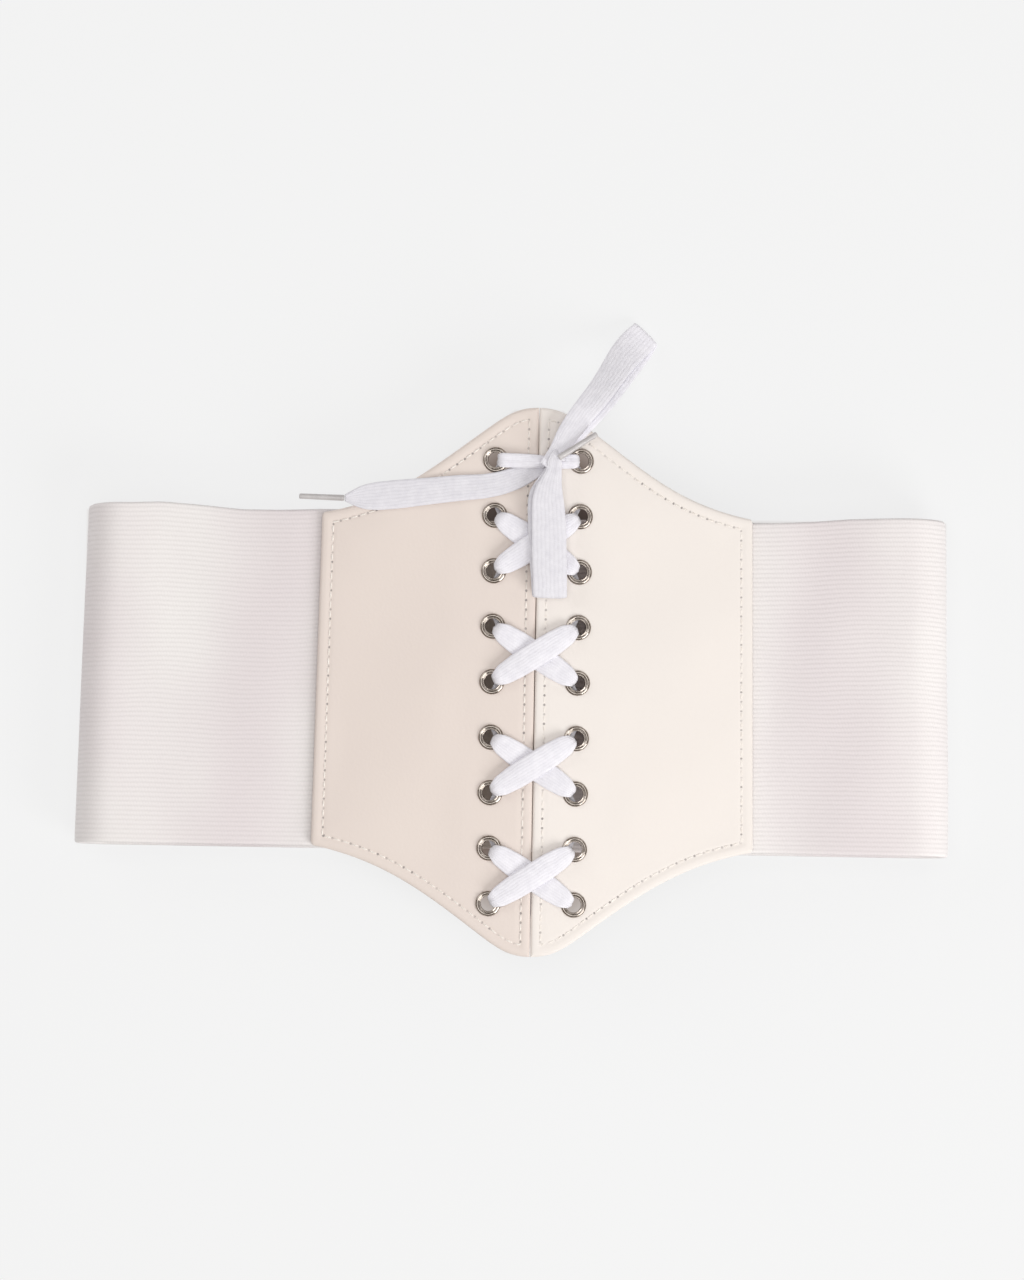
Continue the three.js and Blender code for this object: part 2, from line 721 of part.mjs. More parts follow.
const shortTurn = THREE.MathUtils.degToRad(SHORT_AGLET_ANGLE);
const upperPlyTop = upperLoopStart + LOOP_PLY_STEP + LACE_THICKNESS / 2;
const shortRoot = new THREE.Vector3(
  knotCentre.x + KNOT_RADIUS_X * Math.cos(shortTurn),
  knotCentre.y + KNOT_RADIUS_X * Math.sin(shortTurn),
  upperPlyTop + CLEARANCE + AGLET_RADIUS,
);
const shortAglet = agletGeometry(shortRoot, SHORT_AGLET_ANGLE, SHORT_AGLET_DROOP);
addMesh("aglet_short", shortAglet, MATERIALS.aglet);

export default part;
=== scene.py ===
import bmesh
import bpy
import numpy as np
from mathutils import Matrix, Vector


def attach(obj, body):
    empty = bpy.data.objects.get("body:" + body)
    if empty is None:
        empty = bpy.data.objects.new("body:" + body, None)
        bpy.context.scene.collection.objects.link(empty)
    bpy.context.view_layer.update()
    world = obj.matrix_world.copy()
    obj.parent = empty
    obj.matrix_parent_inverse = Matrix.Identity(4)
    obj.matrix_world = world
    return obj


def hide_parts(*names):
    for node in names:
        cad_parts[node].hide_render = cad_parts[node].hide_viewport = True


# A corset belt that lies on its back, closed and pressed flat. Lengths are in millimetres until
# a mesh is made of them.
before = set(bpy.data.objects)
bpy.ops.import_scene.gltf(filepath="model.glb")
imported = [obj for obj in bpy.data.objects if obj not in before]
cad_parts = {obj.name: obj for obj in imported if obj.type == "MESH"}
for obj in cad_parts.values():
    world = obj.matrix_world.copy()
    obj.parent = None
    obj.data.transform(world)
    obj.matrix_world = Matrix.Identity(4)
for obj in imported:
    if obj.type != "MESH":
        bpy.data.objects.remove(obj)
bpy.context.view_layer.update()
scene = bpy.context.scene
MM = 0.001


# The view and the light: a camera straight above the belt, turned by one degree, a soft lamp low
# on the right, one overhead, a weaker one on the left and a weak one beyond, on a pale floor that
# glows evenly, with a painted shadow under the belt.
CAMERA_AT = (-8.5, 15.3)
CAMERA_HEIGHT = 4000
CAMERA_TURN = 1
FRONT_LEVEL = 27
FRAME_HEIGHT = 466.3
SENSOR_HEIGHT = 24

camera_data = bpy.data.cameras.new("camera")
camera_data.sensor_fit = "VERTICAL"
camera_data.sensor_height = SENSOR_HEIGHT
camera_data.lens = SENSOR_HEIGHT * CAMERA_HEIGHT / FRAME_HEIGHT
camera = bpy.data.objects.new("camera", camera_data)
camera.location = [c * MM for c in (*CAMERA_AT, CAMERA_HEIGHT + FRONT_LEVEL)]
camera.rotation_euler = (0, 0, np.radians(CAMERA_TURN))
scene.collection.objects.link(camera)
scene.camera = camera
scene.view_settings.view_transform = "Standard"


def softbox(name, place, size, power, colour):
    """A square area lamp at a place in metres, turned to the belt's middle."""
    data = bpy.data.lights.new(name, "AREA")
    data.shape = "SQUARE"
    data.size = size
    data.energy = power
    data.color = colour
    lamp = bpy.data.objects.new(name, data)
    lamp.location = place
    lamp.rotation_euler = (-Vector(place)).to_track_quat("-Z", "Y").to_euler()
    lamp.visible_camera = False
    scene.collection.objects.link(lamp)


softbox("key lamp", (0.9, -0.85, 0.85), 0.8, 14.0, (1, 1, 0.995))
softbox("overhead lamp", (0, 0, 1.9), 1.3, 14.2, (0.99, 0.995, 1))
softbox("left lamp", (-1.25, 0.75, 0.8), 1.0, 5.9, (0.97, 0.985, 1))
softbox("far lamp", (0.9, 1.3, 0.9), 1.0, 3.2, (0.98, 0.99, 1))

world = bpy.data.worlds.new("dim room")
scene.world = world
world.use_nodes = True
room = world.node_tree.nodes["Background"].inputs
room["Color"].default_value = (0.30, 0.27, 0.245, 1)
room["Strength"].default_value = 0.75


def put(tree, kind, inputs=None, **settings):
    """Adds a node, sets its properties, and links or sets its inputs by name or number."""
    node = tree.nodes.new(kind)
    for key, value in settings.items():
        setattr(node, key, value)
    for key, value in (inputs or {}).items():
        if isinstance(value, bpy.types.NodeSocket):
            tree.links.new(value, node.inputs[key])
        else:
            node.inputs[key].default_value = value
    return node


def maths(tree, operation, *values):
    """The output of one Math node for the given values or sockets."""
    return put(tree, "ShaderNodeMath", dict(enumerate(values)), operation=operation).outputs[0]


def ranged(tree, value, low, high, to_low=0.0, to_high=1.0, **settings):
    """The value moved from the range low to high onto the range to_low to to_high."""
    inputs = {"Value": value, "From Min": low, "From Max": high, "To Min": to_low, "To Max": to_high}
    return put(tree, "ShaderNodeMapRange", inputs, **settings).outputs[0]


def blended(tree, share, first, second):
    """The first colour moved towards the second by a share."""
    return put(tree, "ShaderNodeMix", {0: share, 6: first, 7: second}, data_type="RGBA").outputs[2]


def noise(tree, place, scale, detail, roughness=0.5):
    """Smooth noise about a half, with features of about 1/scale."""
    inputs = {"Vector": place, "Scale": scale, "Detail": detail, "Roughness": roughness}
    return put(tree, "ShaderNodeTexNoise", inputs).outputs["Fac"]


def parts(tree, vector):
    """A vector's X, Y and Z."""
    return put(tree, "ShaderNodeSeparateXYZ", {"Vector": vector}).outputs


def new_material(name, shader_values):
    """A material with one Principled shader, whose plain values are set on its own sockets. Gives
    the material, its tree, the shader and the place on the object."""
    material = bpy.data.materials.new(name)
    material.use_nodes = True
    tree = material.node_tree
    shader = tree.nodes["Principled BSDF"]
    for key, value in shader_values.items():
        shader.inputs[key].default_value = value
    return material, tree, shader, put(tree, "ShaderNodeTexCoord").outputs["Object"]


def new_group(name, inputs, outputs):
    """A node group with the named inputs and outputs, and what its inputs give inside it."""
    group = bpy.data.node_groups.new(name, "ShaderNodeTree")
    for way, sockets in (("INPUT", inputs), ("OUTPUT", outputs)):
        for socket, kind in sockets.items():
            group.interface.new_socket(name=socket, in_out=way, socket_type="NodeSocket" + kind)
    return group, group.nodes.new("NodeGroupInput").outputs


# Mottle is used by every finish: two tones of one colour, mixed by slow noise over the piece.
mottle, given = new_group(
    "mottle",
    {"Place": "Vector", "Size": "Float", "Light tone": "Color", "Dark tone": "Color"},
    {"Colour": "Color"},
)
patches = noise(mottle, given["Place"], given["Size"], 3.0, 0.55)
spread = ranged(mottle, patches, 0.32, 0.68)
mixed = blended(mottle, spread, given["Dark tone"], given["Light tone"])
put(mottle, "NodeGroupOutput", {"Colour": mixed})


def mottled(tree, place, size, light, dark):
    """The colour that the mottle group gives, with patches of about 1/size metres."""
    inputs = {"Place": place, "Size": size, "Light tone": (*light, 1), "Dark tone": (*dark, 1)}
    return put(tree, "ShaderNodeGroup", inputs, node_tree=mottle).outputs["Colour"]


FLOOR_LIGHT = 0.775
FLOOR_HALF_SIZE = 4
FLOOR_LEVEL = -0.0002

floor_material, tree, shader, place = new_material(
    "pale floor", {"Roughness": 0.9, "Emission Strength": FLOOR_LIGHT}
)
tone = mottled(tree, place, 3, (0.112, 0.114, 0.115), (0.109, 0.111, 0.112))
tree.links.new(tone, shader.inputs["Base Color"])
# The floor glows evenly, as a lit table looks. Under the belt the glow is painted shadow: it dies
# away with the distance in from the belt's outline, the blue first: a box for the bands, and flanks
# that fall evenly from the peaks. This painted shadow dies away faster above the middle, on the side
# that is turned from the key lamp.
FADE = 0.013
FADE_PACE = 1.1
PACE_TURN = 0.35
FADE_SPEEDS = {"Red": 1.1, "Green": 1.3, "Blue": 1.42}
BELT_MIDDLE = -0.0075
BELT_HALF_WIDTH = 0.158
BELT_HALF_HEIGHT = 0.061
PEAK_HALF_WIDTH = 0.009
PEAK_HEIGHT = 0.1
FLANK_FALL = 0.725
at = parts(tree, place)
upward = maths(tree, "ABSOLUTE", at["Y"])
across = maths(tree, "ABSOLUTE", maths(tree, "SUBTRACT", at["X"], BELT_MIDDLE))
from_side = maths(tree, "SUBTRACT", BELT_HALF_WIDTH, across)
in_box = maths(tree, "MINIMUM", from_side, maths(tree, "SUBTRACT", BELT_HALF_HEIGHT, upward))
past_peak = maths(tree, "SUBTRACT", maths(tree, "ABSOLUTE", at["X"]), PEAK_HALF_WIDTH)
fallen = maths(tree, "MULTIPLY", maths(tree, "MAXIMUM", past_peak, 0.0), FLANK_FALL)
below_flank = maths(tree, "SUBTRACT", maths(tree, "SUBTRACT", PEAK_HEIGHT, fallen), upward)
in_peak = maths(tree, "DIVIDE", below_flank, float(np.hypot(1, FLANK_FALL)))
inside = maths(tree, "MAXIMUM", maths(tree, "MAXIMUM", in_box, in_peak), 0.0)
turned_away = maths(tree, "MULTIPLY", maths(tree, "SIGN", at["Y"]), PACE_TURN)
inside = maths(tree, "MULTIPLY", inside, maths(tree, "ADD", FADE_PACE, turned_away))
glow = put(tree, "ShaderNodeCombineColor")
for channel, speed in FADE_SPEEDS.items():
    left = maths(tree, "EXPONENT", maths(tree, "MULTIPLY", inside, -speed / FADE))
    tree.links.new(left, glow.inputs[channel])
tree.links.new(glow.outputs[0], shader.inputs["Emission Color"])
floor_material.cycles.emission_sampling = "NONE"
floor_mesh = bpy.data.meshes.new("floor")
ways = [(-1, -1), (1, -1), (1, 1), (-1, 1)]
corners = [(x * FLOOR_HALF_SIZE, y * FLOOR_HALF_SIZE, FLOOR_LEVEL) for x, y in ways]
floor_mesh.from_pydata(corners, [], [(0, 1, 2, 3)])
floor_mesh.materials.append(floor_material)
floor = bpy.data.objects.new("floor", floor_mesh)
scene.collection.objects.link(floor)


# The lace's long end: a flat woven ribbon that comes out from under the knot, lies along the left
# panel and narrows into its aglet.
PANEL_WIDTH = 79.5
PANEL_THICKNESS = 2.2
PANEL_RISE = 5.5
PANEL_CURL = 0.3
RIDGE_UNDER = 28.2
LACE_WIDTH = 10.4
LACE_THICKNESS = 1.3
KNOT_AT = np.array([3.5, 79.3, 34.53])
LONG_END_REACH = 73.7
LONG_END_FALL = 13.3
LYING_GAP = 0.15
# Shares of the reach to the left and of the fall, and the width as a share of the lace's.
LONG_END = [
    (-0.02, 0.02, 0.36), (0.04, 0.128, 0.45), (0.142, 0.35, 0.78), (0.231, 0.53, 0.82),
    (0.319, 0.625, 0.86), (0.427, 0.669, 0.91), (0.577, 0.767, 0.94), (0.726, 0.865, 1.01),
    (0.834, 0.932, 1.0), (0.909, 0.97, 0.88), (0.963, 0.992, 0.53), (1.0, 1.0, 0.25),
]


def panel_under(x):
    """A panel's underside: it falls from the ridge, part in line and part with the square."""
    share = np.abs(x) / PANEL_WIDTH
    return RIDGE_UNDER - PANEL_RISE * ((1 - PANEL_CURL) * share + PANEL_CURL * share**2)


def panel_top(x):
    """A panel's face is one thickness above its underside."""
    return panel_under(x) + PANEL_THICKNESS


def panel_slope(x):
    """How steeply a panel falls at a distance from the ridge, as rise over run."""
    share = np.abs(x) / PANEL_WIDTH
    return PANEL_RISE / PANEL_WIDTH * (1 - PANEL_CURL + 2 * PANEL_CURL * share)


def unit(vectors):
    """Each vector divided by its length."""
    return vectors / np.linalg.norm(vectors, axis=-1, keepdims=True)


def lengths(points):
    """How far along a route each of its points lies."""
    gaps = np.linalg.norm(np.diff(points, axis=0), axis=1)
    return np.concatenate([[0], np.cumsum(gaps)])


def eased(rows, step, reach):
    """Rows along a route, put at even steps of its length by straight shares between the given
    rows, and then each averaged with its neighbours under a bell of the given reach."""
    rows = np.asarray(rows, float)
    at = lengths(rows[:, :3])
    even = np.linspace(0, at[-1], int(round(at[-1] / step)) + 1)
    fine = np.stack([np.interp(even, at, column) for column in rows.T], axis=1)
    radius = int(np.ceil(3 * reach / step))
    bell = np.exp(-0.5 * (np.arange(-radius, radius + 1) * step / reach) ** 2)
    wide = np.pad(fine, ((radius, radius), (0, 0)), mode="reflect", reflect_type="odd")
    bell /= bell.sum()
    return np.stack([np.convolve(column, bell, mode="valid") for column in wide.T], axis=1)


def piece(name, points, faces, material, cloth=None):
    """An object at the origin from points in millimetres and faces of three or four corners.
    cloth gives each point's places along and across the cloth, kept as the UV map."""
    points = np.reshape(points, (-1, 3))
    faces = [list(map(int, face)) for face in faces]
    used = np.unique(np.concatenate([np.asarray(face) for face in faces]))
    renumbered = np.zeros(len(points), int)
    renumbered[used] = np.arange(len(used))
    mesh = bpy.data.meshes.new(name)
    mesh.from_pydata(points[used] * MM, [], [renumbered[face].tolist() for face in faces])
    if cloth is not None:
        corners = np.empty(len(mesh.loops), np.int32)
        mesh.loops.foreach_get("vertex_index", corners)
        places = np.stack(np.broadcast_arrays(*cloth), axis=-1).reshape(-1, 2).astype(np.float32)
        layer = mesh.uv_layers.new(name="cloth")
        layer.data.foreach_set("uv", places[used][corners].ravel())
    shell = bmesh.new()
    shell.from_mesh(mesh)
    bmesh.ops.recalc_face_normals(shell, faces=shell.faces)
    shell.to_mesh(mesh)
    shell.free()
    mesh.polygons.foreach_set("use_smooth", np.ones(len(mesh.polygons), bool))
    mesh.materials.append(material)
    made = bpy.data.objects.new(name, mesh)
    scene.collection.objects.link(made)
    return made


def ring_faces(rows, around, closed=False):
    """Each point's number in rows of rings, and the faces between each ring and the next."""
    index = np.arange(rows * around).reshape(rows, around)
    rings = np.concatenate([index, index[:1]]) if closed else index
    turned = np.roll(rings, -1, axis=1)
    faces = np.stack([rings[:-1], turned[:-1], turned[1:], rings[1:]], axis=-1)
    return index, faces.reshape(-1, 4)


def wrapped(name, points, cloth, material):
    """A closed strip from sections in rows. Each section runs over the face from edge to edge and
    back under it, and the first and last are closed with faces from the top to the underside."""
    around = points.shape[1]
    index, sides = ring_faces(*points.shape[:2])
    over = np.arange(around // 2 + 1)
    under = (around - over) % around
    faces = sides.tolist()
    for ends in (index[0], index[-1]):
        corners = [ends[over[:-1]], ends[over[1:]], ends[under[1:]], ends[under[:-1]]]
        strip = np.stack(corners, axis=-1).tolist()
        strip[0] = strip[0][:3]
        strip[-1] = [strip[-1][0], strip[-1][1], strip[-1][3]]
        faces += strip
    return piece(name, points, faces, material, cloth)


def dressed(made, node):
    """Lets a piece ride on the body in the place of its solid, and hides the solid."""
    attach(made, "root")
    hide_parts(node)
    return made


def both_faces(line):
    """A line over the cloth's face and back under it, with 1 on the face and -1 on the back."""
    face = np.concatenate([np.ones(len(line)), -np.ones(len(line) - 2)])
    return np.concatenate([line, line[-2:0:-1]]), face


def rounded_section(steps, fullness):
    """The sides and heights of a section with round edges. With v from -1 to 1, the side is the
    sine of v's quarter turn, and the height is the root, of the power fullness, of one less the
    side to that power."""
    side, face = both_faces(np.sin(np.linspace(-1, 1, steps + 1) * np.pi / 2))
    return side, face * (1 - np.abs(side) ** fullness) ** (1 / fullness)


# The periods of the lengthwise folds, in millimetres of cloth, and their shares of the height.
FOLD_WAVES = ((9.0, 0.5), (4.7, 0.32), (2.6, 0.18))


def ribbon(name, rows, across_steps, fold, seed, material, fullness=3.0):
    """A woven ribbon through rows of place, way across, width and thickness, with the rounded
    section scaled to half of each. Lengthwise folds, slow sine waves across the cloth, grow where
    the ribbon is gathered."""
    at, across, width, thickness = rows[:, :3], rows[:, 3:6], rows[:, 6], rows[:, 7]
    along = unit(np.gradient(at, axis=0))
    out = unit(np.cross(along, across))
    across = unit(across)
    length = lengths(at)
    side, height = rounded_section(across_steps, fullness)
    natural = side * LACE_WIDTH / 2
    random = np.random.default_rng(seed)
    gathered = np.clip(1.15 - width / LACE_WIDTH, 0.12, 1)[:, None]
    waves = np.zeros((len(rows), len(side)))
    for period, share in FOLD_WAVES:
        drift = 2 * np.pi * random.random() + 1.1 * np.sin(
            2 * np.pi * (length / random.uniform(22, 38) + random.random())
        )
        waves += share * np.sin(2 * np.pi * natural[None, :] / period + drift[:, None])
    lift = (thickness / 2)[:, None] * height[None, :] + fold * gathered * waves
    aside = side[None, :] * (width / 2)[:, None]
    points = at[:, None] + across[:, None] * aside[..., None] + out[:, None] * lift[..., None]
    return wrapped(name, points, (length[:, None], natural), material)


def humps(tree, count):
    """One hump for each whole count: the sine of a half turn, without its sign."""
    return maths(tree, "ABSOLUTE", maths(tree, "SINE", maths(tree, "MULTIPLY", count, np.pi)))


# Ribbed weave is used by the lace and the elastic: ribs along the cloth, and in each rib a row of
# crosswise threads that is half a stitch out of step with its neighbours'.
weave, given = new_group(
    "ribbed weave",
    {"Cloth": "Vector", "Rib": "Float", "Stitch": "Float", "Unevenness": "Float"},
    {"Height": "Float", "Groove": "Float"},
)
bend = maths(weave, "SUBTRACT", noise(weave, given["Cloth"], 0.22, 2.0), 0.5)
swing = maths(weave, "MULTIPLY", bend, given["Unevenness"])
on_cloth = parts(weave, given["Cloth"])
row = maths(weave, "DIVIDE", maths(weave, "ADD", on_cloth["Y"], swing), given["Rib"])
turn = maths(weave, "MULTIPLY", maths(weave, "FLOOR", row), 0.5)
stitch = maths(weave, "ADD", maths(weave, "DIVIDE", on_cloth["X"], given["Stitch"]), turn)
fuzz = noise(weave, given["Cloth"], 1.3, 4.0)
threads = maths(weave, "ADD", maths(weave, "MULTIPLY", humps(weave, stitch), 0.3), fuzz)
ribs = maths(weave, "MULTIPLY", humps(weave, row), 0.5)
height = maths(weave, "ADD", ribs, maths(weave, "MULTIPLY", threads, 0.6))
# The groove mask marks the low places of the weave, which the finishes darken with painted shade.
groove = ranged(weave, height, 0.25, 1.0, 1.0, 0.0)
put(weave, "NodeGroupOutput", {"Height": height, "Groove": groove})


def woven(tree, rib, stitch, unevenness):
    """The ribbed weave's outputs on the piece's own UV map, for pitches in millimetres."""
    cloth = put(tree, "ShaderNodeUVMap", uv_map="cloth").outputs[0]
    inputs = {"Cloth": cloth, "Rib": rib, "Stitch": stitch, "Unevenness": unevenness}
    return put(tree, "ShaderNodeGroup", inputs, node_tree=weave).outputs


PAINTED_SHADE_TONE = (0.30, 0.27, 0.26, 1)


def with_painted_shade(tree, colour, mask, factor):
    """The colour moved towards the tone of painted shade, as in deep grooves, by a mask times a
    factor.
    """
    return blended(tree, maths(tree, "MULTIPLY", mask, factor), colour, PAINTED_SHADE_TONE)


def surfaced(tree, shader, colour, height, strength, distance):
    """Gives the shader its colour and a bump of the height."""
    tree.links.new(colour, shader.inputs["Base Color"])
    inputs = {"Height": height, "Strength": strength, "Distance": distance}
    tree.links.new(put(tree, "ShaderNodeBump", inputs).outputs[0], shader.inputs["Normal"])


LACE_LIGHT = (0.93, 0.92, 0.975)
LACE_DARK = (0.85, 0.84, 0.90)


def woven_lace(name, share):
    """Woven lace, whose tones are multiplied by a share. A share below one paints shade into the
    lace.
    """
    material, tree, shader, place = new_material(
        name, {"Roughness": 0.9, "Sheen Weight": 0.35, "Sheen Roughness": 0.5}
    )
    cloth = woven(tree, rib=1.25, stitch=0.8, unevenness=1.2)
    tones = [[part * share for part in tone] for tone in (LACE_LIGHT, LACE_DARK)]
    # The grooves of the weave are darkened with painted shade.
    tone = with_painted_shade(tree, mottled(tree, place, 380, *tones), cloth["Groove"], factor=0.09)
    surfaced(tree, shader, tone, cloth["Height"], strength=0.6, distance=0.00022)
    return material


lace_material = woven_lace("woven lace", 1)
# The long end and the lower loop get a darker copy of the lace: painted shade.
shaded_lace_material = woven_lace("woven lace with painted shade", 0.905)

end_shares = np.array(LONG_END)
end_x = KNOT_AT[0] - end_shares[:, 0] * LONG_END_REACH
end_y = KNOT_AT[1] - end_shares[:, 1] * LONG_END_FALL
end_z = panel_top(end_x) + LYING_GAP + LACE_THICKNESS / 2
end_at = np.stack([end_x, end_y, end_z], axis=1)
end_way = np.gradient(end_at[:, :2], axis=0)
end_tilt = end_way[:, 1] * np.sign(end_x) * panel_slope(end_x)
end_across = unit(np.stack([-end_way[:, 1], end_way[:, 0], end_tilt], axis=1))
end_width = end_shares[:, 2] * LACE_WIDTH
end_thickness = np.full(len(end_at), LACE_THICKNESS)
end_rows = np.column_stack([end_at, end_across, end_width, end_thickness])
end_rows = eased(end_rows, step=0.7, reach=1.6)
long_end = ribbon(
    "lace_end_long_ribbon", end_rows, across_steps=22, fold=0.34, seed=5, material=shaded_lace_material
)
dressed(long_end, "lace_end_long")

# The aglet on the long end: a clear film rolled round the lace's tip, with an overlapping edge.
AGLET_RADIUS = 1.15
AGLET_LENGTH = 16.5
AGLET_GAP = 0.3
FILM_INNER_EDGE = 0.92
FILM_OVERLAP = 0.1
FILM_TAPER = 0.12

aglet_material, tree, shader, place = new_material(
    "clear film over lace", {"Roughness": 0.28, "Coat Weight": 0.35, "Coat Roughness": 0.12}
)
cloth = woven(tree, rib=0.9, stitch=0.8, unevenness=0.3)
tone = mottled(tree, place, 160, (0.62, 0.60, 0.60), (0.47, 0.45, 0.45))
# The grooves of the lace under the film are darkened with painted shade.
tone = with_painted_shade(tree, tone, cloth["Groove"], factor=0.35)
surfaced(tree, shader, tone, cloth["Height"], strength=0.3, distance=0.0001)


def circle(steps):
    """Angles at even steps once round."""
    return np.linspace(0, 2 * np.pi, steps, endpoint=False)


def aglet(name, root, turn, droop, node):
    """A film rolled round the lace's end. At share s of its length and angle a round its axis, its
    radius is the aglet's, less a taper at the tip, plus the overlap's step where the film ends, and
    it closes to a blunt end through the last shares of its length."""
    turn, droop = np.radians(turn), np.radians(droop)
    way = np.array([np.cos(droop) * np.cos(turn), np.cos(droop) * np.sin(turn), -np.sin(droop)])
    side = unit(np.cross(way, [0, 0, 1.0]))
    up = np.cross(side, way)
    shares = np.concatenate([[0, 0, 0.012], np.linspace(0.03, 0.965, 26), [0.985, 0.996, 1, 1]])
    closing = np.concatenate([[0, 0.8, 0.95], np.ones(26), [0.96, 0.86, 0.62, 0]])
    angles = circle(24)
    step = FILM_INNER_EDGE + FILM_OVERLAP * (angles / (2 * np.pi))
    radius = AGLET_RADIUS * (closing * (1 - FILM_TAPER * shares))[:, None] * step[None, :]
    along = (AGLET_GAP + shares * AGLET_LENGTH)[:, None, None]
    round_it = side * np.cos(angles)[:, None] + up * np.sin(angles)[:, None]
    points = root + way * along + round_it[None] * radius[..., None]
    index, quads = ring_faces(*points.shape[:2])
    index[0] = index[0, 0]
    index[-1] = index[-1, 0]
    faces = [list(dict.fromkeys(quad)) for quad in index.ravel()[quads].tolist()]
    cloth = (along[..., 0], angles * AGLET_RADIUS)
    return dressed(piece(name, points, faces, aglet_material, cloth), node)


long_root = end_at[-1]
long_aglet = aglet("aglet_long_film", long_root, turn=178.5, droop=5, node="aglet_long")


# The elastic bands: two wide strips of woven elastic with fine ribs along them, sewn under the
# panels' outer edges, folded round at the sides and sewn into the clasp behind.
BAND_HEIGHT = 122
BAND_THICKNESS = 1.6
BAND_OVERLAP = 12
FOLD_RADIUS = 12
FRONT_DIP = 3.2
EDGE_FLARE = 2
BACK_DROP = 1.2
CLASP_X = -15
CLASP_WIDTH = 40
CLASP_WEB = 8
CLASP_RAMP = 18
BAND_IN_CLASP = 2.3
GAP = 0.3
BAND_AT_PANEL = 21.6
RIBS = 73
SIDES = (("left", -1, 165.5, 3.3), ("right", 1, 150.5, 4))
# How far each band's upper edge strays from straight, at even steps from the panel to the fold.
STRAY = {-1: (0.9, 0.1, -0.4, 0.3, 0.8, 0), 1: (-1.6, -1.4, -1.3, -0.9, -0.9, -0.8)}
# The turn, in radians, at which each band's slow waves begin at the panel.
WAVE_START = {-1: 3.2, 1: 4.0}

elastic_material, tree, shader, place = new_material(
    "ribbed elastic", {"Roughness": 0.88, "Sheen Weight": 0.15, "Sheen Roughness": 0.6}
)
cloth = woven(tree, rib=BAND_HEIGHT / RIBS, stitch=1.1, unevenness=0)
# In slow bands across it the cloth is a little darker and pinker: painted shade of shallow folds.
FOLD_SHADE_PERIOD = 0.085
DARK_BANDS_MIDDLE = 0.007
DARK_BANDS_AT = 0.106
BAND_SLANT = 0.14
FOLD_SHADE_TONE = (0.785, 0.73, 0.74, 1)
at = parts(tree, place)
bend = maths(tree, "SUBTRACT", noise(tree, place, 16.0, 2.0), 0.5)
bend = maths(tree, "MULTIPLY", bend, 3.0)
apart = maths(tree, "ABSOLUTE", maths(tree, "SUBTRACT", at["X"], DARK_BANDS_MIDDLE))
along = maths(tree, "ADD", apart, maths(tree, "MULTIPLY", at["Y"], BAND_SLANT))
along = maths(tree, "SUBTRACT", along, DARK_BANDS_AT)
turns = maths(tree, "MULTIPLY", along, 2 * np.pi / FOLD_SHADE_PERIOD)
fold_shade = maths(tree, "COSINE", maths(tree, "ADD", turns, bend))
fold_shade = maths(tree, "ADD", maths(tree, "MULTIPLY", fold_shade, 0.5), 0.5)
drawn_out = put(tree, "ShaderNodeMapping", {"Vector": place, "Scale": (1, 0.35, 1)}).outputs[0]
tone = mottled(tree, drawn_out, 30, (0.90, 0.879, 0.865), (0.87, 0.83, 0.83))
# The weave's grooves are darkened with painted shade.
tone = with_painted_shade(tree, blended(tree, fold_shade, tone, FOLD_SHADE_TONE), cloth["Groove"], factor=0.15)
surfaced(tree, shader, tone, cloth["Height"], strength=0.55, distance=0.0002)


def smooth(share):
    """A share that leaves 0 and reaches 1 level: three squares less two cubes."""
    return share * share * (3 - 2 * share)


def band_line(sign, reach, slant, edge):
    """The band's middle line at one edge. It lies under the panel, then follows a cubic that leaves
    along the panel and reaches the crest level, half a circle, and a flat run to the ramp into the
    clasp. The upper edge flares out with the cubic, and both edges drop a little behind."""
    crest = reach - edge * slant / 2 - FOLD_RADIUS - BAND_THICKNESS / 2
    tucked = np.linspace(PANEL_WIDTH - BAND_OVERLAP, PANEL_WIDTH, 5, endpoint=False)
    share = np.linspace(0, 1, 26, endpoint=False)
    span = crest - PANEL_WIDTH
    dip = share * (1 - share) ** 2 * span * panel_slope(PANEL_WIDTH)
    turn = np.linspace(0, np.pi, 27)
    edge_of_clasp = sign * CLASP_X + CLASP_WIDTH / 2 + GAP
    flat = np.linspace(crest, edge_of_clasp + CLASP_RAMP, 20)[1:-1]
    ramp = np.linspace(0, 1, 9)
    into = sign * CLASP_X + CLASP_WEB / 2 + GAP
    half = BAND_THICKNESS / 2
    stretches = [
        (tucked, panel_under(tucked) - GAP - half),
        (PANEL_WIDTH + share * span, BAND_AT_PANEL - dip + FRONT_DIP * smooth(share)),
        (crest + FOLD_RADIUS * np.sin(turn), half + FOLD_RADIUS * (1 + np.cos(turn))),
        (flat, np.full(len(flat), half)),
        (edge_of_clasp + (1 - ramp) * CLASP_RAMP, half + smooth(ramp) * (BAND_IN_CLASP - half)),
        ([into], [BAND_IN_CLASP]),
    ]
    u, z = (np.concatenate(line) for line in zip(*stretches))
    behind = np.zeros(len(flat) + len(ramp) + 1)
    rise = np.concatenate([0 * tucked, smooth(share), 1 - smooth(turn / np.pi), behind])
    sunk = np.concatenate([0 * tucked, 0 * share, smooth(turn / np.pi), behind + 1])
    stray = np.interp(share, np.linspace(0, 1, 6), STRAY[sign])
    round_fold = stray[-1] * (1 - smooth(turn / np.pi))
    stray = np.concatenate([0 * tucked + stray[0], stray, round_fold, 0 * behind])
    y = edge * BAND_HEIGHT / 2 + (EDGE_FLARE * rise + stray if edge > 0 else 0) - BACK_DROP * sunk
    return np.stack([sign * u, y, z], axis=1)


RIB_SWELL = 0.07
SLOW_WAVE = 0.65
QUICK_WAVE = 0.16
WAVES_GROW = 12
WAVES_END = 85
WAVES_FADE = 25


